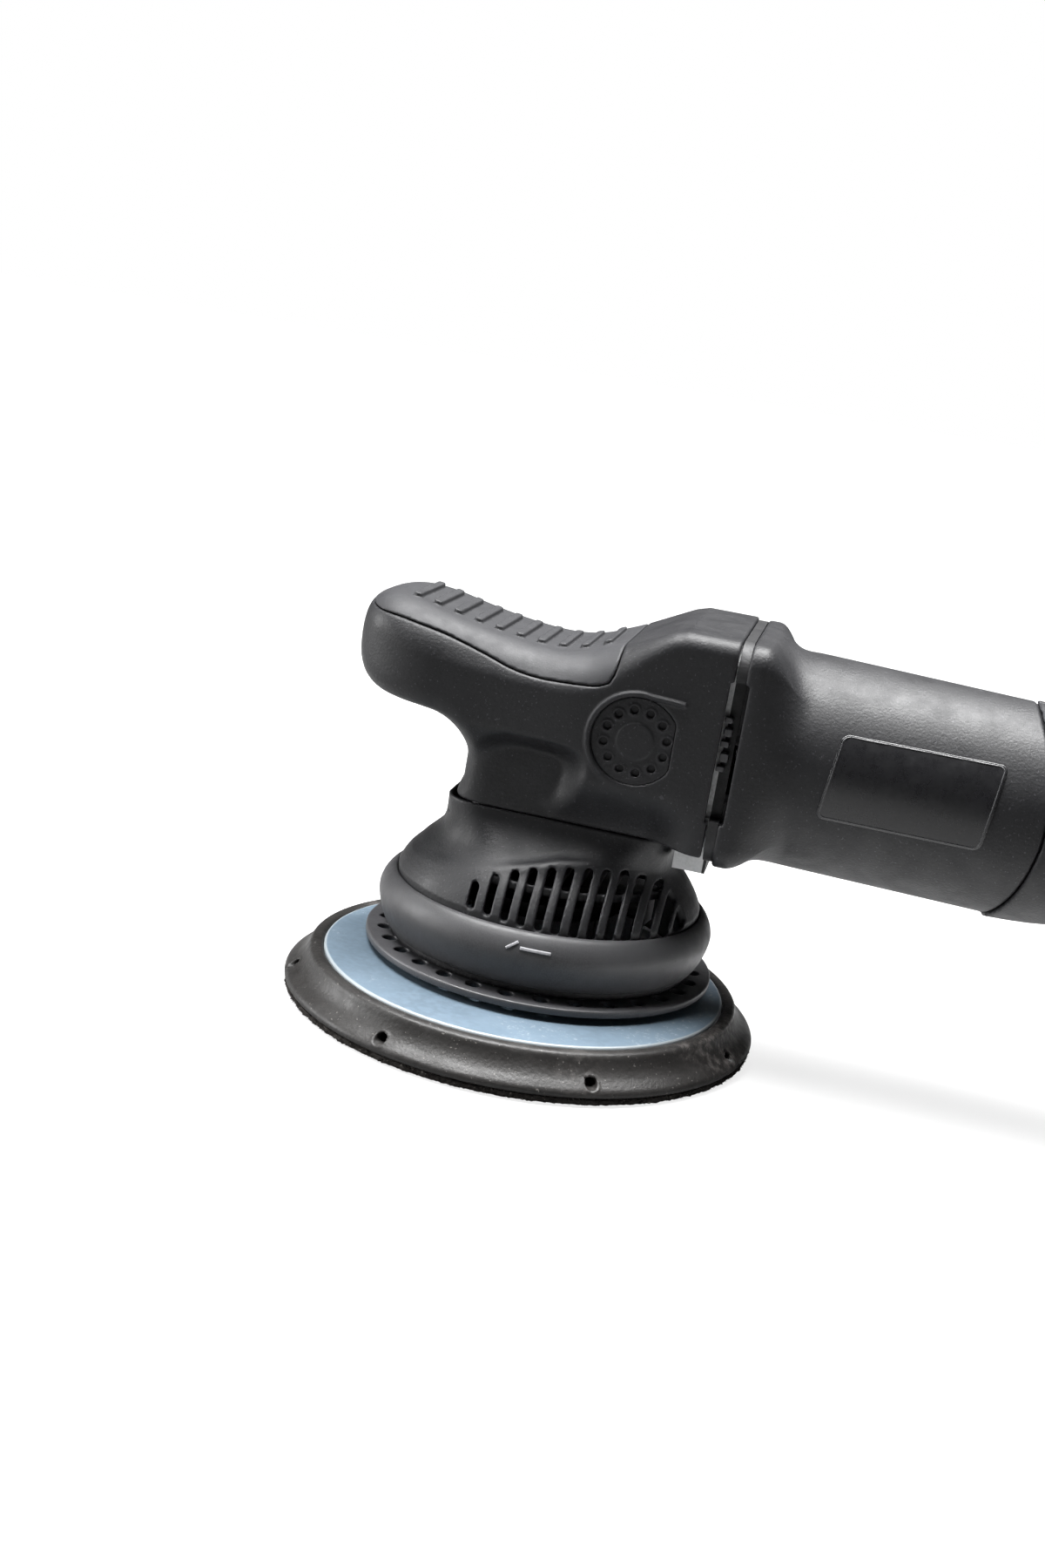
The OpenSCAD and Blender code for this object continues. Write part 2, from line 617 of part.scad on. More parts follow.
// finger paddle hinged at its front end
module trigger() {
  color([0.13, 0.13, 0.14]) difference() {
    union() {
      side([[166.5, 66.5], [168.5, 62.6], [176, 60.4], [196, 59.2], [216, 59.2], [232, 58.4], [240, 56.6],
        [241.6, 57.4], [241.4, 66], [236, 69.4], [176, 70.4], [168.5, 70.4]], 9.4);
      ycyl(172, 69, 4, -9.4, 9.4);
    }
    side([[177, 67.6], [177, 72], [236, 72], [236, 66.8], [231, 61.4], [216, 62], [196, 62], [180, 63]], 7);
    ycyl(172, 69, 2.06, -12, 12);
  }
}
module trigger_pin() { color(steel) ycyl(172, 69, 2, -12.4, 12.4); }
module trigger_spring() {
  color(steel) translate([172, 0, 69]) {
    translate([14, 0, 5.7]) rotate([90, 0, 0]) translate([0, 0, -4]) coil(3.2, 0.5, 4, 8);
  }
}
module power_switch() {
  color([0.2, 0.2, 0.21]) difference() {
    union() {
      translate([186, -8, 78.6]) cube([44, 16, 24]);
      translate([194, -10, 84]) cube([6, 20, 4]);
    }
    translate([206, 0, 78]) cylinder(r = 2.7, h = 14);
    ycyl(214, 88, 2.6, -9, 6);
  }
}
module switch_plunger() { color([0.75, 0.1, 0.1]) translate([206, 0, 0]) zcyl(2.6, 62.4, 86.5); }
module lock_button() {
  color([0.6, 0.08, 0.08]) {
    ycyl(214, 88, 5.4, -29.6, -21.8);
    ycyl(214, 88, 7.4, -22.6, -20.6);
    ycyl(214, 88, 2.5, -21, -3.5);
  }
}
module lock_spring() {
  color(steel) translate([214, -20, 88]) rotate([-90, 0, 0]) coil(3.6, 0.45, 4, 7);
}
module speed_dial() {
  color([0.1, 0.1, 0.1]) {
    difference() {
      ycyl(286, 112.6, 13.2, -4.5, 4.5);
      for (i = [0 : 35]) translate([286 + 13.5 * cos(i * 10), -5, 112.6 + 13.5 * sin(i * 10)])
        rotate([-90, 0, 0]) cylinder(r = 0.6, h = 10, $fn = 24);
    }
    ycyl(286, 112.6, 1.95, -9, 9);
  }
}
module speed_module() {
  color([0.12, 0.2, 0.14]) difference() {
    union() {
      translate([256, -17, 74]) cube([46, 34, 18]);
      for (s = [-1, 1]) translate([281, s > 0 ? 5.6 : -8.6, 90]) cube([10, 3, 26]);
    }
    ycyl(286, 112.6, 2.0, -12, 12);
  }
}
module cord_gland() {
  color([0.1, 0.1, 0.1]) difference() {
    union() {
      xcyl(9.4, 317, handle_end + 3.5);
      xcyl(12.5, 315.6, handle_end - 5);
      xcyl(11.8, handle_end + 0.4, handle_end + 3.5);
    }
    xcyl(cable_d / 2, 314, handle_end + 5);
  }
}

hook_face();
plate_foam();
plate_disc();
plate_hub();
plate_washer();
plate_screw();
drive_plate();
drive_pins();
pad_spindle();
spindle_circlip();
pad_bearings();
eccentric_hub();
counterweight();
counterweight_screws();
output_spindle();
crown_gear();
lower_bearing();
upper_bearing();
gear_case();
skirt();
bumper();
vent_ring();
skirt_screws();
head_cover();
front_grip();
side_caps();
pinion();
motor_shaft();
front_bearing();
rear_bearing();
fan();
fan_baffle();
armature_core();
armature_windings();
commutator();
stator_core();
field_coils();
brush_holders();
brushes();
brush_springs();
case_screws();
motor_housing();
label_left();
label_right();
handle_left();
handle_right();
handle_screws();
trigger();
trigger_pin();
trigger_spring();
power_switch();
switch_plunger();
lock_button();
lock_spring();
speed_dial();
speed_module();
cord_gland();
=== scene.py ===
"""Dual action polisher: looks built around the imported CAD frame.

Shapes are in millimetres in the CAD's own frame and are meshed from distance fields; objects are in metres.
"""
import math
import bpy
import numpy as np
import openvdb
from mathutils import Matrix, Vector


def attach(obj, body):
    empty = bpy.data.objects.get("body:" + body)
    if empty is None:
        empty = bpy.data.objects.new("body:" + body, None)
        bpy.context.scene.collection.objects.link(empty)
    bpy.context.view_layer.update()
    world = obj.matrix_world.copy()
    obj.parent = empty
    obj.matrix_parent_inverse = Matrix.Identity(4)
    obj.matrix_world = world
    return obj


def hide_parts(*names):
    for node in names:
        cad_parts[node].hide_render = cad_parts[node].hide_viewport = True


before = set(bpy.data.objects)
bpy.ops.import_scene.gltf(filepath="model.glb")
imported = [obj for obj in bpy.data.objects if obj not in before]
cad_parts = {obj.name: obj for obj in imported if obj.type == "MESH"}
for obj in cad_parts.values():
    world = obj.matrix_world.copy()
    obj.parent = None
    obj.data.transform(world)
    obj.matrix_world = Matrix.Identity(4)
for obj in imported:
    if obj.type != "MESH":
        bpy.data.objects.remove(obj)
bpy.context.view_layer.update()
MM = 0.001
RNG = np.random.default_rng(7)
THROW = 10.5  # the pad axis lies this far off the spindle
TURN = math.radians(11)  # the eccentric is turned this far at rest
PC = (-THROW * math.sin(TURN), -THROW * math.cos(TURN))
AX = 93.5  # height of the motor's axis

# ------------------------------------------------------------------ field tools


def sstep(t):
    t = np.clip(t, 0.0, 1.0)
    return t * t * (3 - 2 * t)


def lerp(a, b, t):
    return a + (b - a) * t


def rmax(a, b, r):
    """Intersection of two fields with a rounded edge of radius r."""
    ua, ub = np.maximum(a + r, 0), np.maximum(b + r, 0)
    return np.minimum(np.maximum(a, b), -r) + np.sqrt(ua * ua + ub * ub)


def smin(a, b, k):
    h = np.maximum(k - np.abs(a - b), 0) / k
    return np.minimum(a, b) - h * h * k / 4


def smax(a, b, k):
    return -smin(-a, -b, k)


def curve(pts, step=1.6, closed=False):
    """Catmull-Rom curve through points, resampled finely."""
    p = [np.array(q, float) for q in pts]
    n, out = len(p), []
    for i in range(n if closed else n - 1):
        if closed:
            a, b, c, d = p[i - 1], p[i], p[(i + 1) % n], p[(i + 2) % n]
        else:
            b, c = p[i], p[i + 1]
            a = p[i - 1] if i else 2 * b - c
            d = p[i + 2] if i + 2 < n else 2 * c - b
        m = max(1, int(np.linalg.norm(c - b) / step))
        for k in range(m):
            t = k / m
            out.append(0.5 * (2 * b + (c - a) * t + (2 * a - 5 * b + 4 * c - d) * t * t
                              + (3 * b - a - 3 * c + d) * t ** 3))
    if not closed:
        out.append(p[-1])
    return [tuple(q) for q in out]


def poly(u, v, pts):
    """Signed distance to a closed polygon in a plane."""
    d, neg = None, None
    n = len(pts)
    for i in range(n):
        ax, ay = pts[i]
        bx, by = pts[i - 1]
        ex, ey = bx - ax, by - ay
        l2 = ex * ex + ey * ey
        if l2 < 1e-12:
            continue
        wx, wy = u - ax, v - ay
        t = np.clip((wx * ex + wy * ey) / l2, 0, 1)
        dx, dy = wx - ex * t, wy - ey * t
        dd = dx * dx + dy * dy
        d = dd if d is None else np.minimum(d, dd)
        side = ex * wy > ey * wx
        up, dn = (v >= ay) & (v < by), (v < ay) & (v >= by)
        flip = (up & side) | (dn & ~side)
        neg = flip if neg is None else neg ^ flip
    return np.where(neg, -1.0, 1.0) * np.sqrt(d)


def box2(u, v, hu, hv, r=0.0):
    """Rounded rectangle about the origin of a plane."""
    qu, qv = np.abs(u) - hu + r, np.abs(v) - hv + r
    return np.sqrt(np.maximum(qu, 0) ** 2 + np.maximum(qv, 0) ** 2) + np.minimum(np.maximum(qu, qv), 0) - r


def slab(w, lo, hi):
    return np.maximum(lo - w, w - hi)


# ------------------------------------------------------------------ mesh tools


def to_object(name, co, faces3, faces4):
    me = bpy.data.meshes.new(name)
    co = np.ascontiguousarray(co * MM, np.float32)
    me.vertices.add(len(co))
    me.vertices.foreach_set("co", co.ravel())
    loops = np.concatenate([faces3.ravel(), faces4.ravel()]).astype(np.int32)
    starts = np.concatenate([np.arange(len(faces3)) * 3,
                             3 * len(faces3) + np.arange(len(faces4)) * 4]).astype(np.int32)
    me.loops.add(len(loops))
    me.loops.foreach_set("vertex_index", loops)
    me.polygons.add(len(starts))
    me.polygons.foreach_set("loop_start", starts)
    me.update(calc_edges=True)
    me.validate()
    me.polygons.foreach_set("use_smooth", np.ones(len(me.polygons), bool))
    o = bpy.data.objects.new(name, me)
    bpy.context.scene.collection.objects.link(o)
    return o


def volume(co, f3, f4):
    tri = np.concatenate([f3, f4[:, :3], f4[:, [0, 2, 3]]]) if len(f4) else f3
    a, b, c = co[tri[:, 0]], co[tri[:, 1]], co[tri[:, 2]]
    return float(np.einsum("ij,ij->i", a, np.cross(b, c)).sum())


def finish_piece(o, mat, body, nodes):
    o.data.materials.clear()
    o.data.materials.append(mat)
    if body:
        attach(o, body)
    if nodes:
        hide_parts(*nodes)
    return o


MAX_TRIS = 190000


def skin(name, lo, hi, v, f, mat, nodes=(), body="housing"):
    """Meshes the surface f = 0 inside a box on a grid of step v, with the vertices drawn onto it."""
    v = v * 1.0
    ax = [lo[i] - 2 * v + v * np.arange(int((hi[i] - lo[i]) / v) + 5) for i in range(3)]
    x, y, z = np.meshgrid(*ax, indexing="ij", sparse=True)
    d = np.asarray(f(x, y, z), np.float32)
    d = np.broadcast_to(d, (len(ax[0]), len(ax[1]), len(ax[2])))
    d = np.ascontiguousarray(np.clip(d, -3 * v, 3 * v))
    g = openvdb.FloatGrid(3 * v)
    g.copyFromArray(d)
    p, f3, f4 = g.convertToPolygons(isovalue=0.0, adaptivity=0.0)
    p = np.asarray(p, float) * v + np.array([a[0] for a in ax])
    f3, f4 = np.asarray(f3, np.int64).reshape(-1, 3), np.asarray(f4, np.int64).reshape(-1, 4)
    if volume(p, f3, f4) < 0:
        f3, f4 = f3[:, ::-1], f4[:, ::-1]
    e = 0.02
    for _ in range(2):
        d0 = f(p[:, 0], p[:, 1], p[:, 2])
        gr = np.stack([f(p[:, 0] + (e if k == 0 else 0), p[:, 1] + (e if k == 1 else 0),
                         p[:, 2] + (e if k == 2 else 0)) - d0 for k in range(3)], 1) / e
        g2 = np.maximum((gr * gr).sum(1), 0.25)
        mv = -(d0 / g2)[:, None] * gr
        ln = np.sqrt((mv * mv).sum(1))
        mv *= np.minimum(1, 0.5 * v / np.maximum(ln, 1e-9))[:, None]
        p = p + mv
    o = to_object(name, p, f3, f4)
    tris = len(f3) + 2 * len(f4)
    if tris > MAX_TRIS:
        m = o.modifiers.new("thin", "DECIMATE")
        m.ratio = MAX_TRIS / tris
        dg = bpy.context.evaluated_depsgraph_get()
        me = bpy.data.meshes.new_from_object(o.evaluated_get(dg))
        o.modifiers.clear()
        o.data = me
    return finish_piece(o, mat, body, nodes)


def grid_faces(n, m, wrap_n=True, wrap_m=True):
    i, j = np.meshgrid(np.arange(n if wrap_n else n - 1), np.arange(m if wrap_m else m - 1), indexing="ij")
    a, b = (i + 1) % n, (j + 1) % m
    return np.stack([i * m + j, a * m + j, a * m + b, i * m + b], -1).reshape(-1, 4)


def lathe(name, pts, mat, nodes=(), body="pad", centre=(0, 0), seg=288, wobble=None):
    """Turned piece from a closed profile of radius and height."""
    seg = seg
    prof = np.array(pts, float)
    a = np.linspace(0, 2 * np.pi, seg, endpoint=False)
    r = np.broadcast_to(prof[None, :, 0], (seg, len(prof))).copy()
    z = np.broadcast_to(prof[None, :, 1], (seg, len(prof))).copy()
    if wobble is not None:
        r, z = wobble(a[:, None], r, z)
    co = np.stack([centre[0] + r * np.cos(a)[:, None], centre[1] + r * np.sin(a)[:, None], z],
                  -1).reshape(-1, 3)
    f4 = grid_faces(seg, len(prof))
    if volume(co - [centre[0], centre[1], 0], np.zeros((0, 3), int), f4) < 0:
        f4 = f4[:, ::-1]
    return finish_piece(to_object(name, co, np.zeros((0, 3), np.int64), f4), mat, body, nodes)


# ------------------------------------------------------------------ materials


def material(name, base, rough=0.5, metal=0.0, spec=0.5, grain=(2200, 0.25, 0.00008), mottle=(45, 0.25),
             rough_var=0.08, speck=None, edge_wear_and_highlight=None, streak=None, extra=None):
    """Principled material: bumpy grain, mottled colour and roughness, light specks, and convex edges
    lightened for wear and as painted highlight.
    """
    mt = bpy.data.materials.new(name)
    mt.use_nodes = True
    nt = mt.node_tree
    nt.nodes.clear()
    nd = lambda t, **k: _node(nt, t, **k)
    out, bs = nd("ShaderNodeOutputMaterial"), nd("ShaderNodeBsdfPrincipled")
    nt.links.new(bs.outputs[0], out.inputs[0])
    bs.inputs["Metallic"].default_value = metal
    bs.inputs["Specular IOR Level"].default_value = spec
    tc = nd("ShaderNodeTexCoord")
    src = tc.outputs["Object"]
    if streak:
        mp = nd("ShaderNodeMapping")
        mp.inputs["Scale"].default_value = streak
        nt.links.new(src, mp.inputs[0])
        src = mp.outputs[0]

    def noise(scale, detail=4.0, rgh=0.55, s=None):
        n = nd("ShaderNodeTexNoise")
        n.inputs["Scale"].default_value = scale
        n.inputs["Detail"].default_value = detail
        n.inputs["Roughness"].default_value = rgh
        nt.links.new(s or src, n.inputs["Vector"])
        return n.outputs["Fac"]

    def ramp(fac, lo, hi):
        m = nd("ShaderNodeMapRange")
        m.interpolation_type = "SMOOTHSTEP"
        for k, val in (("From Min", lo), ("From Max", hi), ("To Min", 0.0), ("To Max", 1.0)):
            m.inputs[k].default_value = val
        nt.links.new(fac, m.inputs["Value"])
        return m.outputs[0]

    def mix(fac, a, b):
        m = nd("ShaderNodeMix")
        m.data_type = "RGBA"
        nt.links.new(fac, m.inputs["Factor"])
        ia = [s_ for s_ in m.inputs if s_.name == "A" and s_.type == "RGBA"][0]
        ib = [s_ for s_ in m.inputs if s_.name == "B" and s_.type == "RGBA"][0]
        for sock, val in ((ia, a), (ib, b)):
            if isinstance(val, tuple):
                sock.default_value = (*val, 1)
            else:
                nt.links.new(val, sock)
        return [s_ for s_ in m.outputs if s_.type == "RGBA"][0]

    def scaled(k):
        return tuple(min(1, c * k) for c in base)

    big = noise(mottle[0], 5.0, 0.6)
    col = mix(ramp(big, 0.3, 0.7), scaled(1 - mottle[1]), scaled(1 + mottle[1]))
    fine = noise(grain[0], 3.0, 0.5)
    col = mix(ramp(fine, 0.35, 0.7), col, scaled(1 + 0.9 * mottle[1]))
    if speck:  # fine light specks: scale, threshold, colour
        col = mix(ramp(noise(speck[0], 2.0, 0.5), speck[1], speck[1] + 0.05), col, speck[2])
    if edge_wear_and_highlight:  # convex edges lightened, for wear and as painted highlight: low, high, colour
        ge = nd("ShaderNodeNewGeometry")
        col = mix(ramp(ge.outputs["Pointiness"], edge_wear_and_highlight[0], edge_wear_and_highlight[1]), col, edge_wear_and_highlight[2])
    if extra:
        col = extra(nd, nt, src, mix, ramp, noise, col)
    nt.links.new(col, bs.inputs["Base Color"])
    mr = nd("ShaderNodeMapRange")
    for k, val in (("From Min", 0.3), ("From Max", 0.7), ("To Min", rough - rough_var),
                   ("To Max", rough + rough_var)):
        mr.inputs[k].default_value = val
    nt.links.new(noise(mottle[0] * 2.7, 5.0, 0.65), mr.inputs["Value"])
    nt.links.new(mr.outputs[0], bs.inputs["Roughness"])
    bp = nd("ShaderNodeBump")
    bp.inputs["Strength"].default_value = grain[1]
    bp.inputs["Distance"].default_value = grain[2]
    nt.links.new(fine, bp.inputs["Height"])
    b2 = nd("ShaderNodeBump")
    b2.inputs["Strength"].default_value = 0.12
    b2.inputs["Distance"].default_value = 0.0004
    nt.links.new(noise(mottle[0] * 1.7, 3.0, 0.5), b2.inputs["Height"])
    nt.links.new(bp.outputs[0], b2.inputs["Normal"])
    nt.links.new(b2.outputs[0], bs.inputs["Normal"])
    return mt


def _node(nt, kind, **k):
    n = nt.nodes.new(kind)
    for a, b in k.items():
        setattr(n, a, b)
    return n


# the lightened edges of the black plastics are partly wear and partly painted highlight
SHELL = material("shell", (0.0085, 0.0086, 0.0097), 0.53, spec=0.3, grain=(1200, 0.8, 0.00014),
                 mottle=(40, 0.18), speck=(1300, 0.66, (0.034, 0.034, 0.038)),
                 edge_wear_and_highlight=(0.53, 0.62, (0.032, 0.032, 0.036)))
GRIP = material("grip", (0.0175, 0.0177, 0.0195), 0.6, spec=0.3, grain=(1900, 0.4, 0.0001),
                mottle=(60, 0.15), speck=(1500, 0.68, (0.036, 0.036, 0.04)),
                edge_wear_and_highlight=(0.54, 0.65, (0.036, 0.036, 0.04)))
BUMPER = material("bumper", (0.037, 0.037, 0.039), 0.5, spec=0.35, grain=(2400, 0.3, 0.00008),
                  mottle=(70, 0.2), speck=(1400, 0.7, (0.04, 0.04, 0.043)))
RING = material("ring", (0.045, 0.045, 0.048), 0.44, spec=0.45, grain=(2200, 0.25, 0.00006),
                mottle=(55, 0.2), speck=(1500, 0.7, (0.05, 0.05, 0.05)),
                edge_wear_and_highlight=(0.54, 0.66, (0.05, 0.05, 0.055)))
MARK = material("mark", (0.2, 0.2, 0.21), 0.5, grain=(2000, 0.3, 0.00006), mottle=(300, 0.2))
LABEL = material("label", (0.008, 0.008, 0.009), 0.3, spec=0.5, grain=(1200, 0.06, 0.00003), mottle=(90, 0.2))
LINE = material("label_line", (0.024, 0.024, 0.026), 0.4, grain=(1200, 0.1, 0.00003), mottle=(90, 0.2))
RED = material("red", (0.42, 0.02, 0.018), 0.42, grain=(1700, 0.3, 0.00006), mottle=(80, 0.15))


def shade_inside_skirt(nd, nt, src, mix, ramp, noise, col):
    """Painted shade: the eccentric's upper faces, inside the skirt, are painted near black."""
    sep = nd("ShaderNodeSeparateXYZ")
    nt.links.new(src, sep.inputs[0])
    return mix(ramp(sep.outputs["Z"], 0.0362, 0.0368), col, (0.012, 0.012, 0.013))


# the eccentric's castings carry painted shade on their upper faces inside the skirt
CAST = material("cast", (0.42, 0.425, 0.43), 0.5, metal=0.85, grain=(1100, 0.6, 0.00015), mottle=(90, 0.2),
                rough_var=0.1, extra=shade_inside_skirt)
ZINC = material("zinc", (0.4, 0.405, 0.41), 0.55, metal=0.75, grain=(1500, 0.7, 0.00012), mottle=(70, 0.14),
                speck=(1800, 0.66, (0.6, 0.6, 0.6)), extra=shade_inside_skirt)
STEEL = material("steel", (0.52, 0.52, 0.53), 0.26, metal=1.0, grain=(900, 0.2, 0.00003),
                 mottle=(120, 0.12), streak=(1, 1, 6))
LAMINATION = material("lamination", (0.22, 0.22, 0.23), 0.45, metal=0.9, grain=(1500, 0.4, 0.00005),
                      mottle=(160, 0.2), streak=(9, 1, 1))
COPPER = material("copper", (0.5, 0.19, 0.08), 0.36, metal=0.9, grain=(1500, 0.6, 0.0001), mottle=(200, 0.25))
BRASS = material("brass", (0.5, 0.37, 0.13), 0.36, metal=1.0, grain=(900, 0.2, 0.00004), mottle=(120, 0.15))
CARBON = material("carbon", (0.02, 0.02, 0.02), 0.6, grain=(2500, 0.4, 0.00006), mottle=(150, 0.2))
BOARD = material("board", (0.015, 0.07, 0.03), 0.45, grain=(1200, 0.3, 0.00005), mottle=(150, 0.3))
HOOK = material("hook", (0.02, 0.0175, 0.016), 0.85, spec=0.2, grain=(1600, 1.0, 0.0004), mottle=(300, 0.4),
                speck=(900, 0.64, (0.12, 0.11, 0.1)))


def foam_scuffs_and_sheen(nd, nt, src, mix, ramp, noise, col):
    """Pale scuffs and painted sheen gathered in two or three wide patches round the rim."""
    where = noise(16, 2.0, 0.5)
    fine = noise(420, 5.0, 0.7)
    m = nd("ShaderNodeMath", operation="MULTIPLY")
    nt.links.new(ramp(where, 0.52, 0.66), m.inputs[0])
    nt.links.new(ramp(fine, 0.42, 0.72), m.inputs[1])
    return mix(m.outputs[0], col, (0.13, 0.12, 0.115))


# the foam's pale patches are partly scuffs and partly painted sheen
FOAM = material("foam", (0.0115, 0.0107, 0.0102), 0.47, spec=0.3, grain=(900, 0.55, 0.00022),
                mottle=(38, 0.3), rough_var=0.1, speck=(1100, 0.68, (0.09, 0.085, 0.08)), extra=foam_scuffs_and_sheen)


def disc_edge(nd, nt, src, mix, ramp, noise, col):
    """Paler moulded rim and faint dust in patches."""
    sep = nd("ShaderNodeSeparateXYZ")
    nt.links.new(src, sep.inputs[0])
    ya = nd("ShaderNodeMath", operation="ADD")
    ya.inputs[1].default_value = -PC[1] * MM
    nt.links.new(sep.outputs["Y"], ya.inputs[0])
    cb = nd("ShaderNodeCombineXYZ")
    xa = nd("ShaderNodeMath", operation="ADD")
    xa.inputs[1].default_value = -PC[0] * MM
    nt.links.new(sep.outputs["X"], xa.inputs[0])
    nt.links.new(xa.outputs[0], cb.inputs["X"])
    nt.links.new(ya.outputs[0], cb.inputs["Y"])
    ln = nd("ShaderNodeVectorMath", operation="LENGTH")
    nt.links.new(cb.outputs[0], ln.inputs[0])
    col = mix(ramp(ln.outputs["Value"], 0.0629, 0.0633), col, (0.22, 0.245, 0.26))
    dust = nd("ShaderNodeMath", operation="MULTIPLY")
    nt.links.new(ramp(noise(700, 4.0, 0.7), 0.56, 0.66), dust.inputs[0])
    nt.links.new(ramp(noise(30, 2.0, 0.5), 0.5, 0.62), dust.inputs[1])
    return mix(dust.outputs[0], col, (0.19, 0.225, 0.25))


DISC = material("disc", (0.088, 0.122, 0.155), 0.42, spec=0.5, grain=(500, 0.12, 0.00008),
                mottle=(28, 0.12), extra=disc_edge)


def case_gap_shade(nd, nt, src, mix, ramp, noise, col):
    """The casting is bare up to x = 48.1 mm; beyond, where it shows in the gap behind the cover, it is
    painted near black as painted shade.
    """
    sep = nd("ShaderNodeSeparateXYZ")
    nt.links.new(src, sep.inputs[0])
    return mix(ramp(sep.outputs["X"], 0.04805, 0.04815), col, (0.012, 0.012, 0.013))


# painted shade on the gear case in the gap between cover and motor housing
CASE = material("case", (0.42, 0.425, 0.43), 0.55, metal=0.35, grain=(1100, 0.6, 0.00015), mottle=(90, 0.2),
                rough_var=0.1, extra=case_gap_shade)
BY_SLOT = {"hook": HOOK, "foam": FOAM, "disc": DISC, "zinc": ZINC, "cast": CAST, "steel": STEEL,
           "lamination": LAMINATION, "copper": COPPER, "brass": BRASS, "carbon": CARBON, "shell": SHELL,
           "grip": GRIP, "bumper": BUMPER, "ring": RING, "label": LABEL, "red": RED, "board": BOARD}
for node_name, node_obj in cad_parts.items():
    slot_name = node_obj.data.materials[0].name.split(".")[0] if node_obj.data.materials else "shell"
    use = CASE if node_name == "gear_case" else BY_SLOT.get(slot_name, SHELL)
    node_obj.data.materials.clear()
    node_obj.data.materials.append(use)

# ------------------------------------------------------------------ head

HEAD_TOP = [(-71.9, 109.5), (-71.7, 112.8), (-70.9, 116.5), (-69.2, 119.8), (-66.2, 122.4), (-62, 123.9),
            (-56.5, 124.3), (-50, 123.4), (-43, 121.8), (-35, 120.1), (-27, 118.7), (-19, 117.6),
            (-11, 117.0), (-4, 117.3), (2.5, 118.7), (8, 120.9), (13, 122.9), (18, 125.2), (23, 127.6),
            (28, 130)]
HEAD_UNDER = [(-31.6, 73.0), (-31.5, 79.5), (-31.9, 83.5), (-33.0, 87.0), (-35.2, 89.9), (-38.6, 91.9),
              (-43.5, 92.9), (-52, 93.7), (-58.5, 94.5), (-63.5, 95.9), (-67.4, 98.3), (-70.2, 101.8),
              (-71.6, 106)]
HEAD_SIDE = (curve(HEAD_TOP) + [(32, 131.2), (80, 131.2), (80, 40), (-34.6, 40), (-34.6, 67.4),
                                (-34.3, 69.2), (-33, 71.2)] + curve(HEAD_UNDER))
SEAM = ([(-90, 124)]
        + curve([(-72, 121.6), (-63.6, 119.4), (-53, 118.6), (-40, 116.5), (-27, 113.1), (-17.2, 110.4),
                 (-7.8, 109.5), (4.3, 110.2), (9.4, 111.0), (12.2, 112.4), (13.3, 115), (13.8, 119),
                 (14.0, 125), (14.1, 132)])
        + [(14.4, 160), (-90, 160)])
RIBS = (-53, -46.4, -39.8, -33.1, -26.4, -19.6, -12.9, -6.2, 0.5, 7.2)
SEAM_Z = 66.4  # where the cover meets the skirt
COVER_WALL = 1.8
COOL_Y, COOL_LO, COOL_HI = 29.5, 77.4, 119.6  # cooling slot between cover and motor housing


def head_raw(x, y, z):
    """Whole head before its cuts: nose, neck and the square rear."""
    ay = np.abs(y)
    s = poly(x, z, HEAD_SIDE)
    w = 32.4 + 2.1 * sstep((x + 30) / 38)
    up = np.where(x < -42, np.sqrt((x + 42) ** 2 + y * y) - 32.4, ay - w)
    flare = 9 * sstep((x - 29) / 17)
    neck = box2(x - 24, np.maximum(ay - flare, 0), 56.4, 25.4, 12)
    sx = sstep((x + 15) / 19)
    z0, z1 = lerp(79.5, 65.5, sx), lerp(94, 84, sx)
    t = sstep((z - z0) / (z1 - z0))
    e = (np.abs((x + 9.5 - 0.25 * (z - 78)) / 15.5) ** 3 + np.abs((z - 79.5) / 10.5) ** 3) ** (1 / 3)
    t = t * sstep((e - 0.62) / 0.62)
    p = lerp(neck, up, t)
    r = lerp(lerp(7, 13.5, sstep((z - 98) / 14)), 5, sstep((x - 4) / 26))
    r = lerp(8, r, sstep((x + 72) / 22))
    return rmax(s, p, r)


CAP_X, CAP_Z, CAP_R = 22.7, 97, 13.13
DIMPLES, DIMPLE_ROW = 12, 9.4


def cap_area(x, z, r):
    """D outline of the side cap with its round side forward."""
    return rmax(np.sqrt((x - CAP_X) ** 2 + (z - CAP_Z) ** 2) - r, x - 33.8, 0.6)


def head_cover(x, y, z):
    """Cover below the seam, with the bead round the side cap and the cooling slot."""
    h = head_raw(x, y, z)
    ay = np.abs(y)
    rr = np.sqrt((x - CAP_X) ** 2 + (z - CAP_Z) ** 2)
    ang = np.arctan2(z - CAP_Z, x - CAP_X)
    bead = np.abs(rr - 14.2) - 0.75
    tail = np.maximum(np.abs(z - 111.2 + (x - CAP_X) * 0.06) - 0.7, np.abs(x - 29) - 6.6)
    bead = np.minimum(np.maximum(bead, x - 24.5), tail)
    k = np.where(ang > 0, 1.0, sstep((-1.7 - ang) / 0.9))  # the bead fades out below
    on_side = ay > 20
    o = np.where(on_side, smin(h, smax(bead, h + 0.3 - 1.4 * k, 0.5), 0.5), h)
    a = poly(x, z, SEAM)
    o = rmax(o, -a + 0.16, 0.45)
    o = rmax(o, SEAM_Z - z, 0.5)
    o = rmax(o, x - 47.9, 0.8)
    # socket of the side cap
    o = np.maximum(o, -np.maximum(cap_area(x, z, CAP_R + 0.07), 31.2 - ay))
    # cooling slot at the rear edge
    slot = np.maximum(np.maximum(46.9 - x, COOL_Y - ay), slab(z, COOL_LO, COOL_HI))
    o = np.maximum(o, -slot)
    return np.maximum(o, -(h + COVER_WALL))


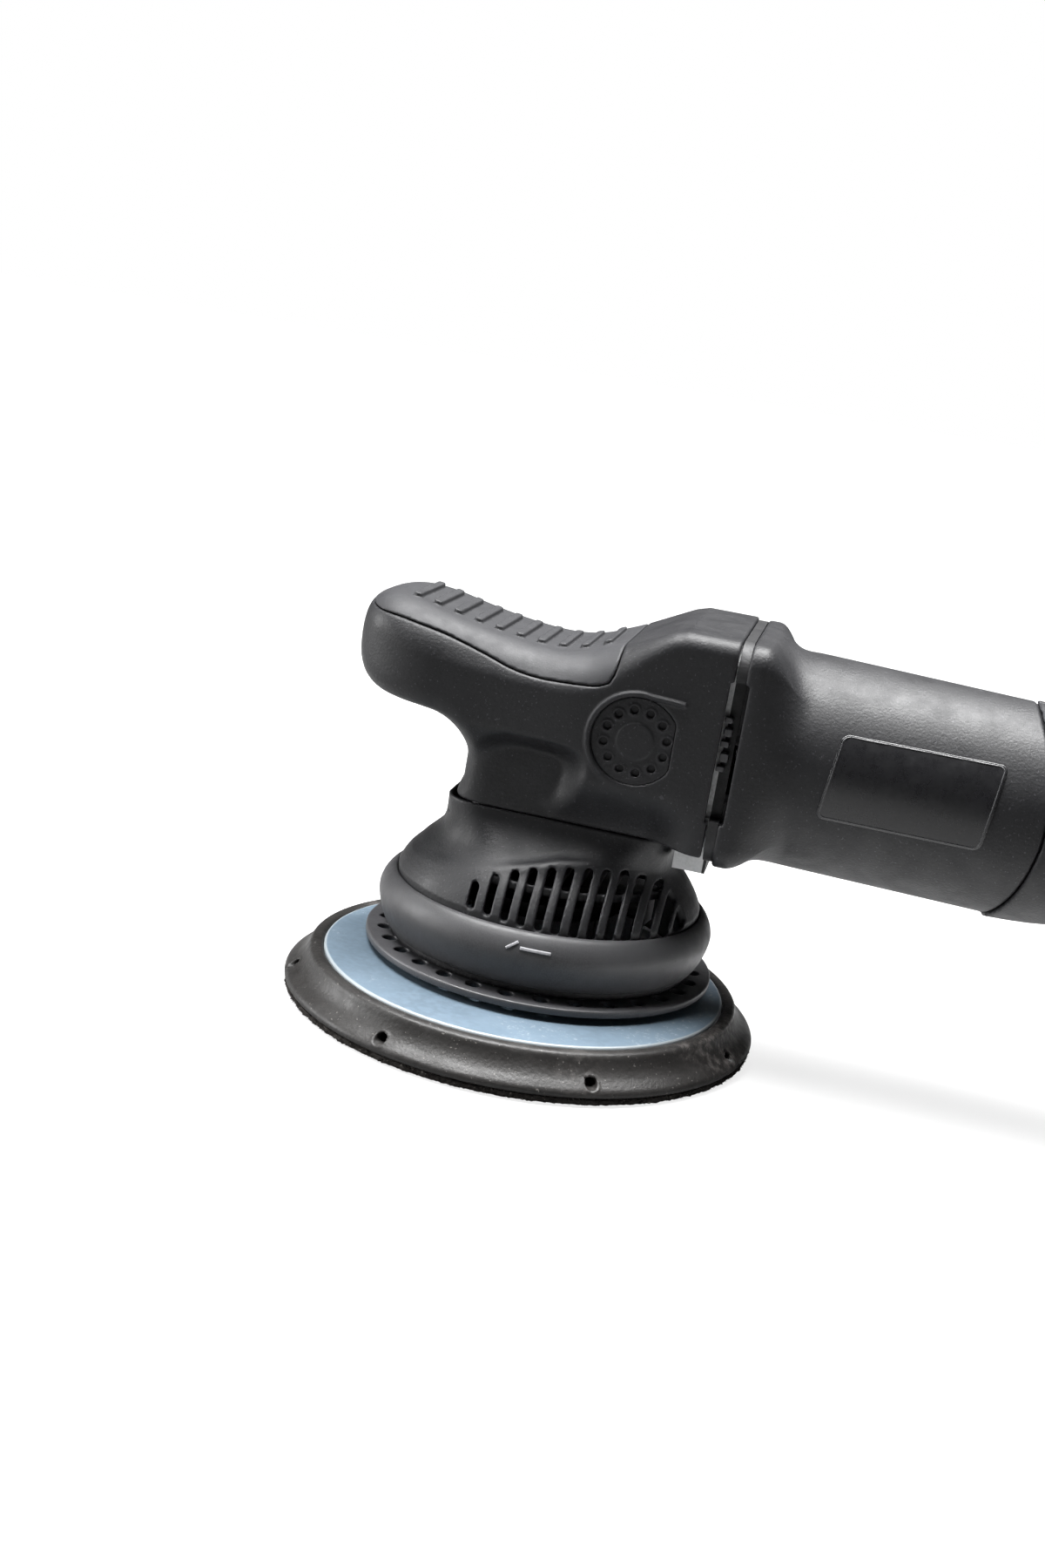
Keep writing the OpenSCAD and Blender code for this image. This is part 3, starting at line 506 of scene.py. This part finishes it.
def grip_top(x, y, z):
    """Soft grip over the nose, above the seam, with its row of ribs."""
    h = head_raw(x, y, z)
    a = poly(x, z, SEAM)
    o = rmax(h, a + 0.16, 0.6)
    ribs = None
    for cx in RIBS:
        d = np.sqrt((x - cx) ** 2 + np.maximum(np.abs(y) - 14.6, 0) ** 2) - 1.25
        ribs = d if ribs is None else np.minimum(ribs, d)
    o = smin(o, rmax(ribs, np.maximum(h - 1.3, 108 - z), 0.4), 0.35)
    return np.maximum(o, -(h + 2.6))


def side_cap(x, y, z):
    """Side cap with its boss and ring of dimples."""
    h = head_raw(x, y, z)
    o = rmax(h + 0.35, cap_area(x, z, CAP_R), 0.12)
    rr = np.sqrt((x - CAP_X) ** 2 + (z - CAP_Z) ** 2)
    o = smin(o, rmax(h - 0.1, rr - 5.6, 0.5), 0.5)
    for i in range(DIMPLES):
        a = (i + 0.35) * 2 * math.pi / DIMPLES
        cx, cz = CAP_X + DIMPLE_ROW * math.cos(a), CAP_Z + DIMPLE_ROW * math.sin(a)
        d = np.sqrt((x - cx) ** 2 + (z - cz) ** 2)
        o = smin(o, rmax(h + 0.1, np.abs(d - 1.6) - 0.28, 0.25), 0.3)
        o = smax(o, -np.maximum(d - 1.25, -(h + 1.3)), 0.25)
    return np.maximum(o, 31.9 - np.abs(y))


skin("head_cover_shell", (-72, -36, 65), (49, 36, 133), 0.6, head_cover, SHELL, ["head_cover"])
skin("front_grip_skin", (-72, -34, 108), (19, 34, 129), 0.5, grip_top, GRIP, ["front_grip"])
skin("side_cap_left", (8, -36.5, 83), (36, -31, 111.5), 0.34, side_cap, SHELL, ["side_caps"])
skin("side_cap_right", (8, 31, 83), (36, 36.5, 111.5), 0.34, side_cap, SHELL)


def slot_fins(x, y, z):
    """Uneven webs of the casting seen in the cooling slot."""
    o = None
    for c, t, dx in ((93.5, 0.8, 0.9), (97, 1.3, 0.4), (101, 0.9, 0.9), (104.6, 1.2, 0.6), (108.2, 0.8, 1.0)):
        d = box2(z - c, x - 49.3 + dx, t, 1.3, 0.4)
        o = d if o is None else np.minimum(o, d)
    return np.maximum(o, slab(np.abs(y), 28.6, 32.2))


skin("slot_fins", (46.5, -33, 79), (51.5, 33, 117), 0.4, slot_fins, RING)

# ------------------------------------------------------------------ skirt, bumper and vent ring

SKIRT_R = curve([(48.6, 18.4), (48.6, 30), (48.6, 36.4), (48.3, 39.6), (46.9, 42.4), (44.9, 45.4),
                 (42.7, 48.2), (40.2, 51.2), (38.2, 54.2), (36.7, 57.4), (35.8, 60.6), (35.3, 64),
                 (35.2, 70)])
RIDGE = [(-180, 52), (-118, 47), (-90, 45.5), (-62, 47), (-48, 48.3), (-34, 49.8), (-19, 52), (-3, 54.6),
         (11, 57), (26, 58), (43, 57.4), (58, 54.6), (78, 50.8), (90, 50.2), (180, 52)]
SLOTS = [(-15.9, 39.4, 46.8), (-10.4, 39.0, 50.0), (-4.9, 38.6, 52.2), (0.3, 38.2, 53.9), (5.6, 37.8, 54.9),
         (10.7, 37.5, 55.7), (16, 37.2, 56), (21, 37, 56), (26, 36.8, 56), (30.7, 36.7, 54.5),
         (35.8, 36.6, 52.3), (40.3, 36.5, 49.2), (44.0, 38, 45)]

SKIRT_WALL, SLOT_R, WEB_Z = 2.4, 1.3, 47.6


def skirt(x, y, z):
    """Domed skirt under a square neck, with an arched ridge and a row of slots on each side."""
    rho = np.sqrt(x * x + y * y)
    body = poly(rho, z, SKIRT_R + [(-5, 70), (-5, 18.4)])
    ang = np.degrees(np.arctan2(x, np.abs(y)))
    zr = np.interp(ang, [a for a, _ in RIDGE], [b for _, b in RIDGE])
    rz = np.interp(z, [b for _, b in SKIRT_R], [a for a, _ in SKIRT_R])
    dome = rmax(body, (z - zr) * 0.8, 1.6)
    t = sstep((z - 48) / 18.6)
    neck = box2(x - 2.0 * t, y, lerp(rz, 35.9, t), lerp(rz, 25.9, t), lerp(rz, 12, t))
    cap = np.maximum(neck + 0.15, slab(z, 40, SEAM_Z - 0.3))
    o = smin(dome, cap, 1.6)
    hollow = [(a - SKIRT_WALL, b) for a, b in SKIRT_R] + [(-5, 70), (-5, 10), (46.2, 10)]
    inner = np.maximum(poly(rho, z, hollow), z - 50.5)
    o = np.maximum(o, -inner)
    o = np.minimum(o, np.maximum(np.abs(z - WEB_Z) - 0.9, np.abs(rho - 39.6) - 2.1))
    o = np.maximum(o, -np.maximum(box2(x - 1.3, y, 34, 23.4, 9), 60 - z))
    ay = np.abs(y)
    cut = None
    for sx, lo, hi in SLOTS:
        dz = np.maximum(np.maximum(lo + SLOT_R - z, z - hi + SLOT_R), 0)
        d = np.sqrt((x - sx) ** 2 + dz * dz) - SLOT_R
        cut = d if cut is None else np.minimum(cut, d)
    cut = np.maximum(np.maximum(cut, 14 - ay), np.where(np.abs(z - WEB_Z) < 1.6, 41.0 - rho, -9))
    o = rmax(o, -cut, 0.35)
    return np.maximum(o, 18.6 - z)


skin("skirt_shell", (-49, -49, 18), (49, 49, 67), 0.62, skirt, SHELL, ["skirt"])

BUMPER_P = curve([(48.75, 21.6), (49.2, 20.8), (50.0, 21.0), (51.0, 22.4), (52.0, 24.6), (52.9, 27.1),
                  (53.5, 29.7), (53.6, 31.8), (53.0, 34.0), (51.9, 36.0), (50.5, 37.5), (49.4, 38.0),
                  (48.75, 37.6), (48.7, 33), (48.7, 26)], 0.7, True)
lathe("bumper_band", [(r + (0.18 if abs(z - 27.6) < 0.35 and r > 51 else 0), z) for r, z in BUMPER_P],
      BUMPER, ["bumper"], "housing", seg=300)


def arrow(x, y, z):
    """Plain raised direction mark on the band."""
    r = np.sqrt(x * x + y * y)
    s = np.arctan2(x, -y) * 53.4
    bar = poly(s, z, [(2.3, 33.2), (11.6, 33.0), (11.6, 33.85), (2.3, 34.05)])
    barb = poly(s, z, [(-1.6, 32.6), (1.7, 34.9), (1.2, 35.5), (-2.1, 33.2)])
    outer = poly(r, z, BUMPER_P)
    return rmax(np.minimum(bar, barb), np.abs(outer) - 0.4, 0.15)


skin("direction_mark", (-3, -56, 32), (13, -51, 36.5), 0.16, arrow, MARK)


VENT_HOLES = 30


def ring(x, y, z):
    """Perforated ring under the bumper, with the lip that seats in the skirt."""
    r = np.sqrt(x * x + y * y)
    a = np.arctan2(y, x)
    k = 2 * math.pi / VENT_HOLES
    a = (a + 20 * math.pi) % k - k / 2
    hole = np.sqrt((r * np.cos(a) - 50) ** 2 + (r * np.sin(a)) ** 2) - 2.35
    o = rmax(np.maximum(r - 56, 42.8 - r), np.abs(z - 16.75) - 1.15, 0.45)
    o = rmax(o, -hole, 0.25)
    return np.minimum(o, np.maximum(slab(r, 43.3, 45.3), slab(z, 17.4, 20.8)))


skin("vent_ring_plate", (-57, -57, 15), (57, 57, 21), 0.46, ring, RING, ["vent_ring"])

# ------------------------------------------------------------------ backing plate

FOAM_P = (curve([(63.9, 12.3), (64.6, 13.0), (66.2, 13.15), (67.6, 12.8), (68.3, 11.9), (68.9, 10.4),
                 (69.9, 8.6), (71.4, 6.9), (73.2, 5.5), (74.5, 4.4), (75.0, 3.3), (74.8, 2.5)], 0.5)
          + [(74.2, 2.15), (17, 2.15), (17, 10.85), (63.9, 10.85)])
HOLE_AZ = [math.radians(a) for a in (-160, -112.3, -61.9, -16.1, 28.3, 72.6, 116.9, 158.4)]


def foam(x, y, z):
    """Flared foam rim with lipped holes."""
    px, py = x - PC[0], y - PC[1]
    r = np.sqrt(px * px + py * py)
    o = poly(r, z, FOAM_P)
    for a in HOLE_AZ:
        c, s = math.cos(a), math.sin(a)
        u, w = px * c + py * s, py * c - px * s
        d = np.sqrt((w / 1.25) ** 2 + (z - 6.0) ** 2) - 1.45
        lip = rmax(np.abs(d) - 0.45, np.maximum(o - 0.35, 60 - u), 0.4)
        o = smin(o, lip, 0.6)
        o = smax(o, -np.maximum(d, 58 - u), 0.4)
    return o


foam_o = skin("plate_foam_body", (-76, -86.5, 1.5), (76, 65.5, 14), 0.66, foam, FOAM,
              ["plate_foam"], "pad")
DISC_P = (curve([(16.5, 13.4), (30, 13.4), (62.9, 13.4), (63.5, 13.25), (63.8, 12.7), (63.8, 11.0)], 0.6)
          + [(63.8, 10.9), (16.5, 10.9)])
lathe("plate_disc_top", DISC_P, DISC, ["plate_disc"], "pad", PC, 360)


def nap(a, r, z):
    """Frays the outer edge of the hook layer."""
    fray = 0.22 * RNG.normal(0, 1, r.shape) + 0.15 * np.sin(a * 61) + 0.12 * np.sin(a * 23 + 1)
    return r + np.where(r > 74.0, fray, 0), z


HOOK_P = [(9, 0.05), (40, 0.0), (70, 0.0), (73.6, 0.0), (74.1, 0.15), (74.35, 0.6), (74.4, 1.1), (74.35, 1.6),
          (74.1, 2.0), (73, 2.1), (9, 2.1)]
lathe("hook_layer", HOOK_P, HOOK, ["hook_face"], "pad", PC, 720, nap)


def fibres(count):
    """Stray hook fibres standing off the plate's lower edge."""
    a = RNG.uniform(0, 2 * np.pi, count)
    z0 = RNG.uniform(0.35, 2.0, count)
    ln = RNG.uniform(0.35, 1.1, count)
    tilt = RNG.normal(0, 0.5, count)
    drop = RNG.uniform(-0.55, 0.25, count)
    wd = RNG.uniform(0.05, 0.11, count)
    base = np.stack([74.1 * np.cos(a), 74.1 * np.sin(a), z0], 1)
    ra, ta = np.stack([np.cos(a), np.sin(a), 0 * a], 1), np.stack([-np.sin(a), np.cos(a), 0 * a], 1)
    up = np.array([0, 0, 1.0])
    tip = base + ln[:, None] * (ra * 0.8 + ta * tilt[:, None] + up * drop[:, None])
    tip[:, 2] = np.maximum(tip[:, 2], 0.05)
    p = np.stack([base + ta * wd[:, None], base - ta * wd[:, None], base + up * wd[:, None] * 1.6, tip],
                 1).reshape(-1, 3)
    p[:, :2] += PC
    k = np.arange(count)[:, None] * 4
    f3 = np.concatenate([k + [0, 3, 2], k + [2, 3, 1], k + [1, 3, 0], k + [0, 2, 1]])
    return p, f3


fp, ff = fibres(5200)
finish_piece(to_object("hook_fibres", fp, ff, np.zeros((0, 4), np.int64)), HOOK, "pad", [])

# ------------------------------------------------------------------ motor housing and labels

BARREL_R = 33.0
BARREL_TAPER = 0.006
RAISE = 0.35  # lifts the barrel's outside over the motor's axis
JOINT_X, JOINT_Z = 74.2, 95.5  # centre of the curved joint between motor housing and handle


def joint_arc(x, z):
    """Distance from the centre of the curved joint."""
    return np.sqrt((x - JOINT_X) ** 2 + (z - JOINT_Z) ** 2)


def sag(x):
    """The barrel's lines fall slightly towards the rear."""
    return 0.028 * (np.clip(x, 70, 140) - 98)


def motor(x, y, z):
    """Square flange running into the round barrel, hollow, with the handle's curved edge behind."""
    zs = z + sag(x) - RAISE
    rho = np.sqrt(y * y + (zs - AX) ** 2)
    t = sstep((x - 54.5) / 17)
    tt = sstep((x - 56) / 12)
    top = lerp(131, 126.8, tt)
    flange = box2(y, z - (63.4 + top) / 2, 35, (top - 63.4) / 2, 7)
    sec = lerp(flange, rho - BARREL_R + BARREL_TAPER * (np.clip(x, 75, 140) - 75), t)
    rho = np.sqrt(y * y + (z - AX) ** 2)
    o = rmax(sec, 51.2 - x, 1.0)
    o = rmax(o, joint_arc(x, z) - 67.7, 0.7)
    lip = np.maximum(rho - 31.2, slab(x, 120, 145.8))
    o = np.minimum(o, lip)
    slot = np.maximum(np.maximum(x - 52.6, COOL_Y - np.abs(y)), slab(z, COOL_LO, COOL_HI))
    o = np.maximum(o, -slot)
    bore = np.maximum(rho - 30.3, slab(x, 40, 150))
    bore = np.maximum(bore, -np.maximum(np.minimum(np.maximum(rho - 30.4, slab(x, 131, 133.5)),
                                                   slab(rho, 11, 14)), slab(x, 131, 141)))
    return np.maximum(o, -bore)


skin("motor_housing_shell", (50, -36, 60), (146.5, 36, 133), 0.66, motor, SHELL, ["motor_housing"])


def label_piece(name, side, mat, hw, hh, lift, frame_w=None):
    """Thin plate lying on the barrel, its ends sloping with the tool's lines."""
    def f(x, y, z):
        zs = z + sag(x) - RAISE
        rho = np.sqrt(y * y + (zs - AX) ** 2) + BARREL_TAPER * (x - 75)
        s = 33.5 * np.arcsin(np.clip((z - AX) / 33.5, -1, 1))
        u, w = x - 103.4 - 0.12 * (s - 4.6), s - 4.6
        d = box2(u, w, hw, hh, 2.4)
        if frame_w:
            d = np.abs(d + frame_w) - frame_w * 0.5
        shell = np.abs(rho - BARREL_R - 0.08 - lift / 2) - 0.1 - lift / 2
        return np.maximum(rmax(d, shell, 0.08), -side * y)
    y0, y1 = (25, 35) if side > 0 else (-35, -25)
    return skin(name, (76, y0, 82), (131, y1, 113), 0.24 if frame_w else 0.3, f, mat,
                ["label_right" if side > 0 else "label_left"] if not frame_w else [])


for sd, nm in ((-1, "left"), (1, "right")):
    label_piece(f"rating_label_{nm}", sd, LABEL, 23.8, 13.2, 0.28)
    label_piece(f"label_outline_{nm}", sd, LINE, 23.6, 13.0, 0.42, 0.5)

# ------------------------------------------------------------------ rear handle

H_TOP = [(118, 126.8), (140, 126.8), (156, 125.2), (180, 122.2), (205, 120.8), (230, 120.6), (255, 121.4),
         (280, 122.8), (305, 124.2), (345, 124.6)]
H_UNDER = [(345, 57.4), (322, 57.8), (304, 60), (286, 63.2), (266, 65.4), (240, 66.2), (210, 66.2),
           (180, 66), (162, 64.6), (146, 61.4), (130, 60.2), (118, 60.2)]
H_SIDE = curve(H_TOP, 4) + curve(H_UNDER, 4)


def handle_raw(x, y, z):
    """Rear handle before its cuts."""
    hw = lerp(33.3, 26.5, sstep((x - 146) / 56)) + 4.0 * sstep((x - 240) / 70)
    r = lerp(32.5, 19, sstep((x - 138) / 50))
    o = rmax(poly(x, z, H_SIDE), np.abs(y) - hw, r)
    return rmax(o, x - 326, 5)


HANDLE_WALL = 2.6
H_POSTS = ((160, 74), (160, 112), (250, 73.4), (236, 111), (312, 72), (312, 112))


def handle(side):
    """One hollow half of the handle; the left half has the screw posts and the lock button's collar."""
    def f(x, y, z):
        h = handle_raw(x, y, z + sag(x))
        rho = np.sqrt(y * y + (z - AX) ** 2)
        o = rmax(h, 68.1 - joint_arc(x, z), 0.7)
        o = rmax(o, 0.06 - side * y, 0.35)
        ay = np.abs(y)
        o = np.maximum(o, -(h + HANDLE_WALL))
        if side < 0:
            for px, pz in H_POSTS:
                d = np.sqrt((x - px) ** 2 + (z - pz) ** 2)
                o = smin(o, np.maximum(np.maximum(d - 4.6, h + 0.4), y + 18), 0.6)
                o = rmax(o, -np.maximum(d - 3.4, y + 18), 0.3)
            lb = np.sqrt((x - 214) ** 2 + (z - 88) ** 2)
            o = rmax(smin(o, rmax(np.abs(lb - 8.2) - 1.2, np.abs(h - 0.1) - 0.7, 0.4), 0.5), -(lb - 5.8), 0.4)
        o = rmax(o, -np.maximum(box2(x - 203.5, y, 39.5, 10, 2.5), z - 72), 0.5)
        o = rmax(o, -np.maximum(box2(x - 286, y, 13, 5.3, 1.5), 114 - z), 0.5)
        o = np.maximum(o, -np.maximum(rho - 31.35, x - 147))
        o = np.maximum(o, -(np.maximum(rho - 9.75, 316 - x)))
        vent = None
        for i in range(6):
            d = box2(x - 151.1 - 4.6 * i, z - AX, 1.15, 12 - 0.6 * i, 1.1)
            vent = d if vent is None else np.minimum(vent, d)
        return rmax(o, -np.maximum(vent, 15 - ay), 0.35)
    return f


skin("handle_shell_left", (130, -35, 56), (327, 0.5, 128), 0.85, handle(-1), SHELL, ["handle_left"])
skin("handle_shell_right", (130, -0.5, 56), (327, 35, 128), 0.85, handle(1), SHELL, ["handle_right"])

H_PAD = curve([(176, 100), (186, 94.5), (210, 99.5), (232, 100), (256, 96), (272, 97), (276, 108),
               (266, 128), (240, 136), (200, 136), (180, 128), (172, 112)], 3, True)


def handle_pad(x, y, z):
    """Soft pad over the back of the handle with fine cross ribs."""
    h = handle_raw(x, y, z + sag(x))
    a = poly(x, z, H_PAD)
    rib = 0.35 * np.clip(1.6 * np.cos((x - 200) * 2 * math.pi / 5.2) - 0.4, 0, 1) * sstep((-a - 3) / 3)
    o = rmax(h - 0.55 - rib, a, 0.6)
    return np.maximum(o, -(h + 0.15))


skin("handle_grip_pad", (171, -32, 92), (278, 32, 123.5), 0.62, handle_pad, GRIP)


PIVOT_X, PIVOT_Z, PIN_R = 172, 69, 2.05
TRIG = curve([(166.6, 67.2), (167.6, 64.2), (170.5, 62), (177, 60.4), (188, 59.5), (204, 59.2), (218, 59.0),
              (230, 58.3), (237, 57.2), (240.6, 57), (241.6, 59), (241.3, 64), (239, 68), (234, 69.5),
              (176, 70.2), (169, 70.2)], 1.5, True)


def trigger(x, y, z):
    """Hollow paddle with finger grooves, on its pivot."""
    o = rmax(poly(x, z, TRIG), np.abs(y) - 9.3, 2.2)
    piv = np.maximum(np.sqrt((x - PIVOT_X) ** 2 + (z - PIVOT_Z) ** 2) - 4, np.abs(y) - 9.3)
    o = smin(o, piv, 0.8)
    for i in range(7):
        gx = 188 + i * 5.4
        o = smax(o, -(np.sqrt((x - gx) ** 2 + (z - 58.2) ** 2) - 1.35), 0.6)
    inner = np.maximum(box2(x - 206.5, y, 29, 7, 1), slab(z, 62.6, 80))
    o = np.maximum(o, -inner)
    return np.maximum(o, -(np.sqrt((x - PIVOT_X) ** 2 + (z - PIVOT_Z) ** 2) - PIN_R))


skin("trigger_paddle", (165, -10, 55.5), (243, 10, 73), 0.5, trigger, GRIP, ["trigger"], "trigger")


def gland(x, y, z):
    """Ribbed cable gland with its bore."""
    rho = np.sqrt(y * y + (z - AX) ** 2)
    o = rmax(rho - 9.3, slab(x, 317, 329.5), 0.8)
    o = np.minimum(o, rmax(rho - 12.4, slab(x, 315.8, 320.8), 0.4))
    o = np.minimum(o, rmax(rho - 11.7, slab(x, 326.4, 329.5), 0.9))
    for i in range(24):
        a = i * math.pi / 12
        flute = np.sqrt((y - 12.4 * math.cos(a)) ** 2 + (z - AX - 12.4 * math.sin(a)) ** 2) - 0.9
        o = smax(o, -np.maximum(flute, 326 - x), 0.3)
    return np.maximum(o, 4 - rho)


skin("cord_gland_collar", (315, -13, 80), (330, 13, 107), 0.36, gland, BUMPER, ["cord_gland"])

# ------------------------------------------------------------------ camera, floor and light

cam = bpy.data.objects.new("camera", bpy.data.cameras.new("camera"))
bpy.context.scene.collection.objects.link(cam)
right = Vector((0.96614, 0.20233, 0.16011)).normalized()
upv = Vector((-0.20204, 0.20731, 0.95718)).normalized()
back = right.cross(upv).normalized()
upv = back.cross(right).normalized()
cam.matrix_world = Matrix(((right.x, upv.x, back.x, 0.080), (right.y, upv.y, back.y, -0.560),
                           (right.z, upv.z, back.z, 0.210), (0, 0, 0, 1)))
cam.data.sensor_fit = "VERTICAL"
cam.data.sensor_height = 36
cam.data.lens = 42.328
cam.data.clip_start = 0.01
cam.data.clip_end = 50
bpy.context.scene.camera = cam

FLOOR_HALF, FLOOR_Z = 9, -0.0004
fl = bpy.data.meshes.new("floor")
fl.from_pydata([(u * FLOOR_HALF, v * FLOOR_HALF, FLOOR_Z) for u, v in ((-1, -1), (1, -1), (1, 1), (-1, 1))],
               [], [(0, 1, 2, 3)])
floor = bpy.data.objects.new("floor", fl)
bpy.context.scene.collection.objects.link(floor)
floor.data.materials.append(material("floor_paint", (0.2, 0.2, 0.2), 0.7, spec=0.2,
                                     grain=(60, 0.02, 0.0001), mottle=(3, 0.01)))

# white to the camera, and dim for the light it sheds on the tool
AMBIENT = 0.05
wd = bpy.data.worlds.new("world")
bpy.context.scene.world = wd
wd.use_nodes = True
wt = wd.node_tree
wb = wt.nodes["Background"]
wb.inputs["Color"].default_value = (1, 1, 1, 1)
lp = wt.nodes.new("ShaderNodeLightPath")
wm = wt.nodes.new("ShaderNodeMapRange")
wm.inputs["To Min"].default_value = AMBIENT
wm.inputs["To Max"].default_value = 1.0
wt.links.new(lp.outputs["Is Camera Ray"], wm.inputs["Value"])
wt.links.new(wm.outputs[0], wb.inputs["Strength"])

# the floor glows near white to the camera only, so it keeps a faint shadow
ft = floor.data.materials[0].node_tree
fb = [n for n in ft.nodes if n.type == "BSDF_PRINCIPLED"][0]
fb.inputs["Emission Color"].default_value = (1, 1, 1, 1)
ftc, fln = ft.nodes.new("ShaderNodeTexCoord"), ft.nodes.new("ShaderNodeVectorMath")
fmr = ft.nodes.new("ShaderNodeMapRange")
flp, fmu = ft.nodes.new("ShaderNodeLightPath"), ft.nodes.new("ShaderNodeMath")
fln.operation, fmu.operation = "LENGTH", "MULTIPLY"
for k, val in (("From Min", 0.35), ("From Max", 1.1), ("To Min", 0.8), ("To Max", 1.0)):
    fmr.inputs[k].default_value = val
ft.links.new(ftc.outputs["Object"], fln.inputs[0])
ft.links.new(fln.outputs["Value"], fmr.inputs["Value"])
ft.links.new(fmr.outputs[0], fmu.inputs[0])
ft.links.new(flp.outputs["Is Camera Ray"], fmu.inputs[1])
ft.links.new(fmu.outputs[0], fb.inputs["Emission Strength"])


def softbox(name, where, target, size, radiance):
    """Rectangular light of a given brightness."""
    l = bpy.data.lights.new(name, "AREA")
    l.shape, l.size, l.size_y = "RECTANGLE", size[0], size[1]
    l.energy = radiance * math.pi * size[0] * size[1]
    o = bpy.data.objects.new(name, l)
    bpy.context.scene.collection.objects.link(o)
    o.location = where
    o.rotation_euler = (Vector(target) - Vector(where)).to_track_quat("-Z", "Y").to_euler()
    return o


MID = (0.06, 0, 0.08)
softbox("top", (0.0, 0.12, 1.15), MID, (1.5, 0.5), 40)
softbox("left", (-1.3, -0.12, 0.38), MID, (0.6, 0.6), 16)
softbox("right", (1.5, -0.9, 0.7), MID, (0.7, 0.9), 0.4)
# light thrown up by the table on the barrel, hidden from the camera
softbox("table", (0.17, -0.03, 0.012), (0.17, -0.03, 0.1), (0.3, 0.1), 1.6).visible_camera = False
bpy.context.scene.view_settings.view_transform = "Standard"
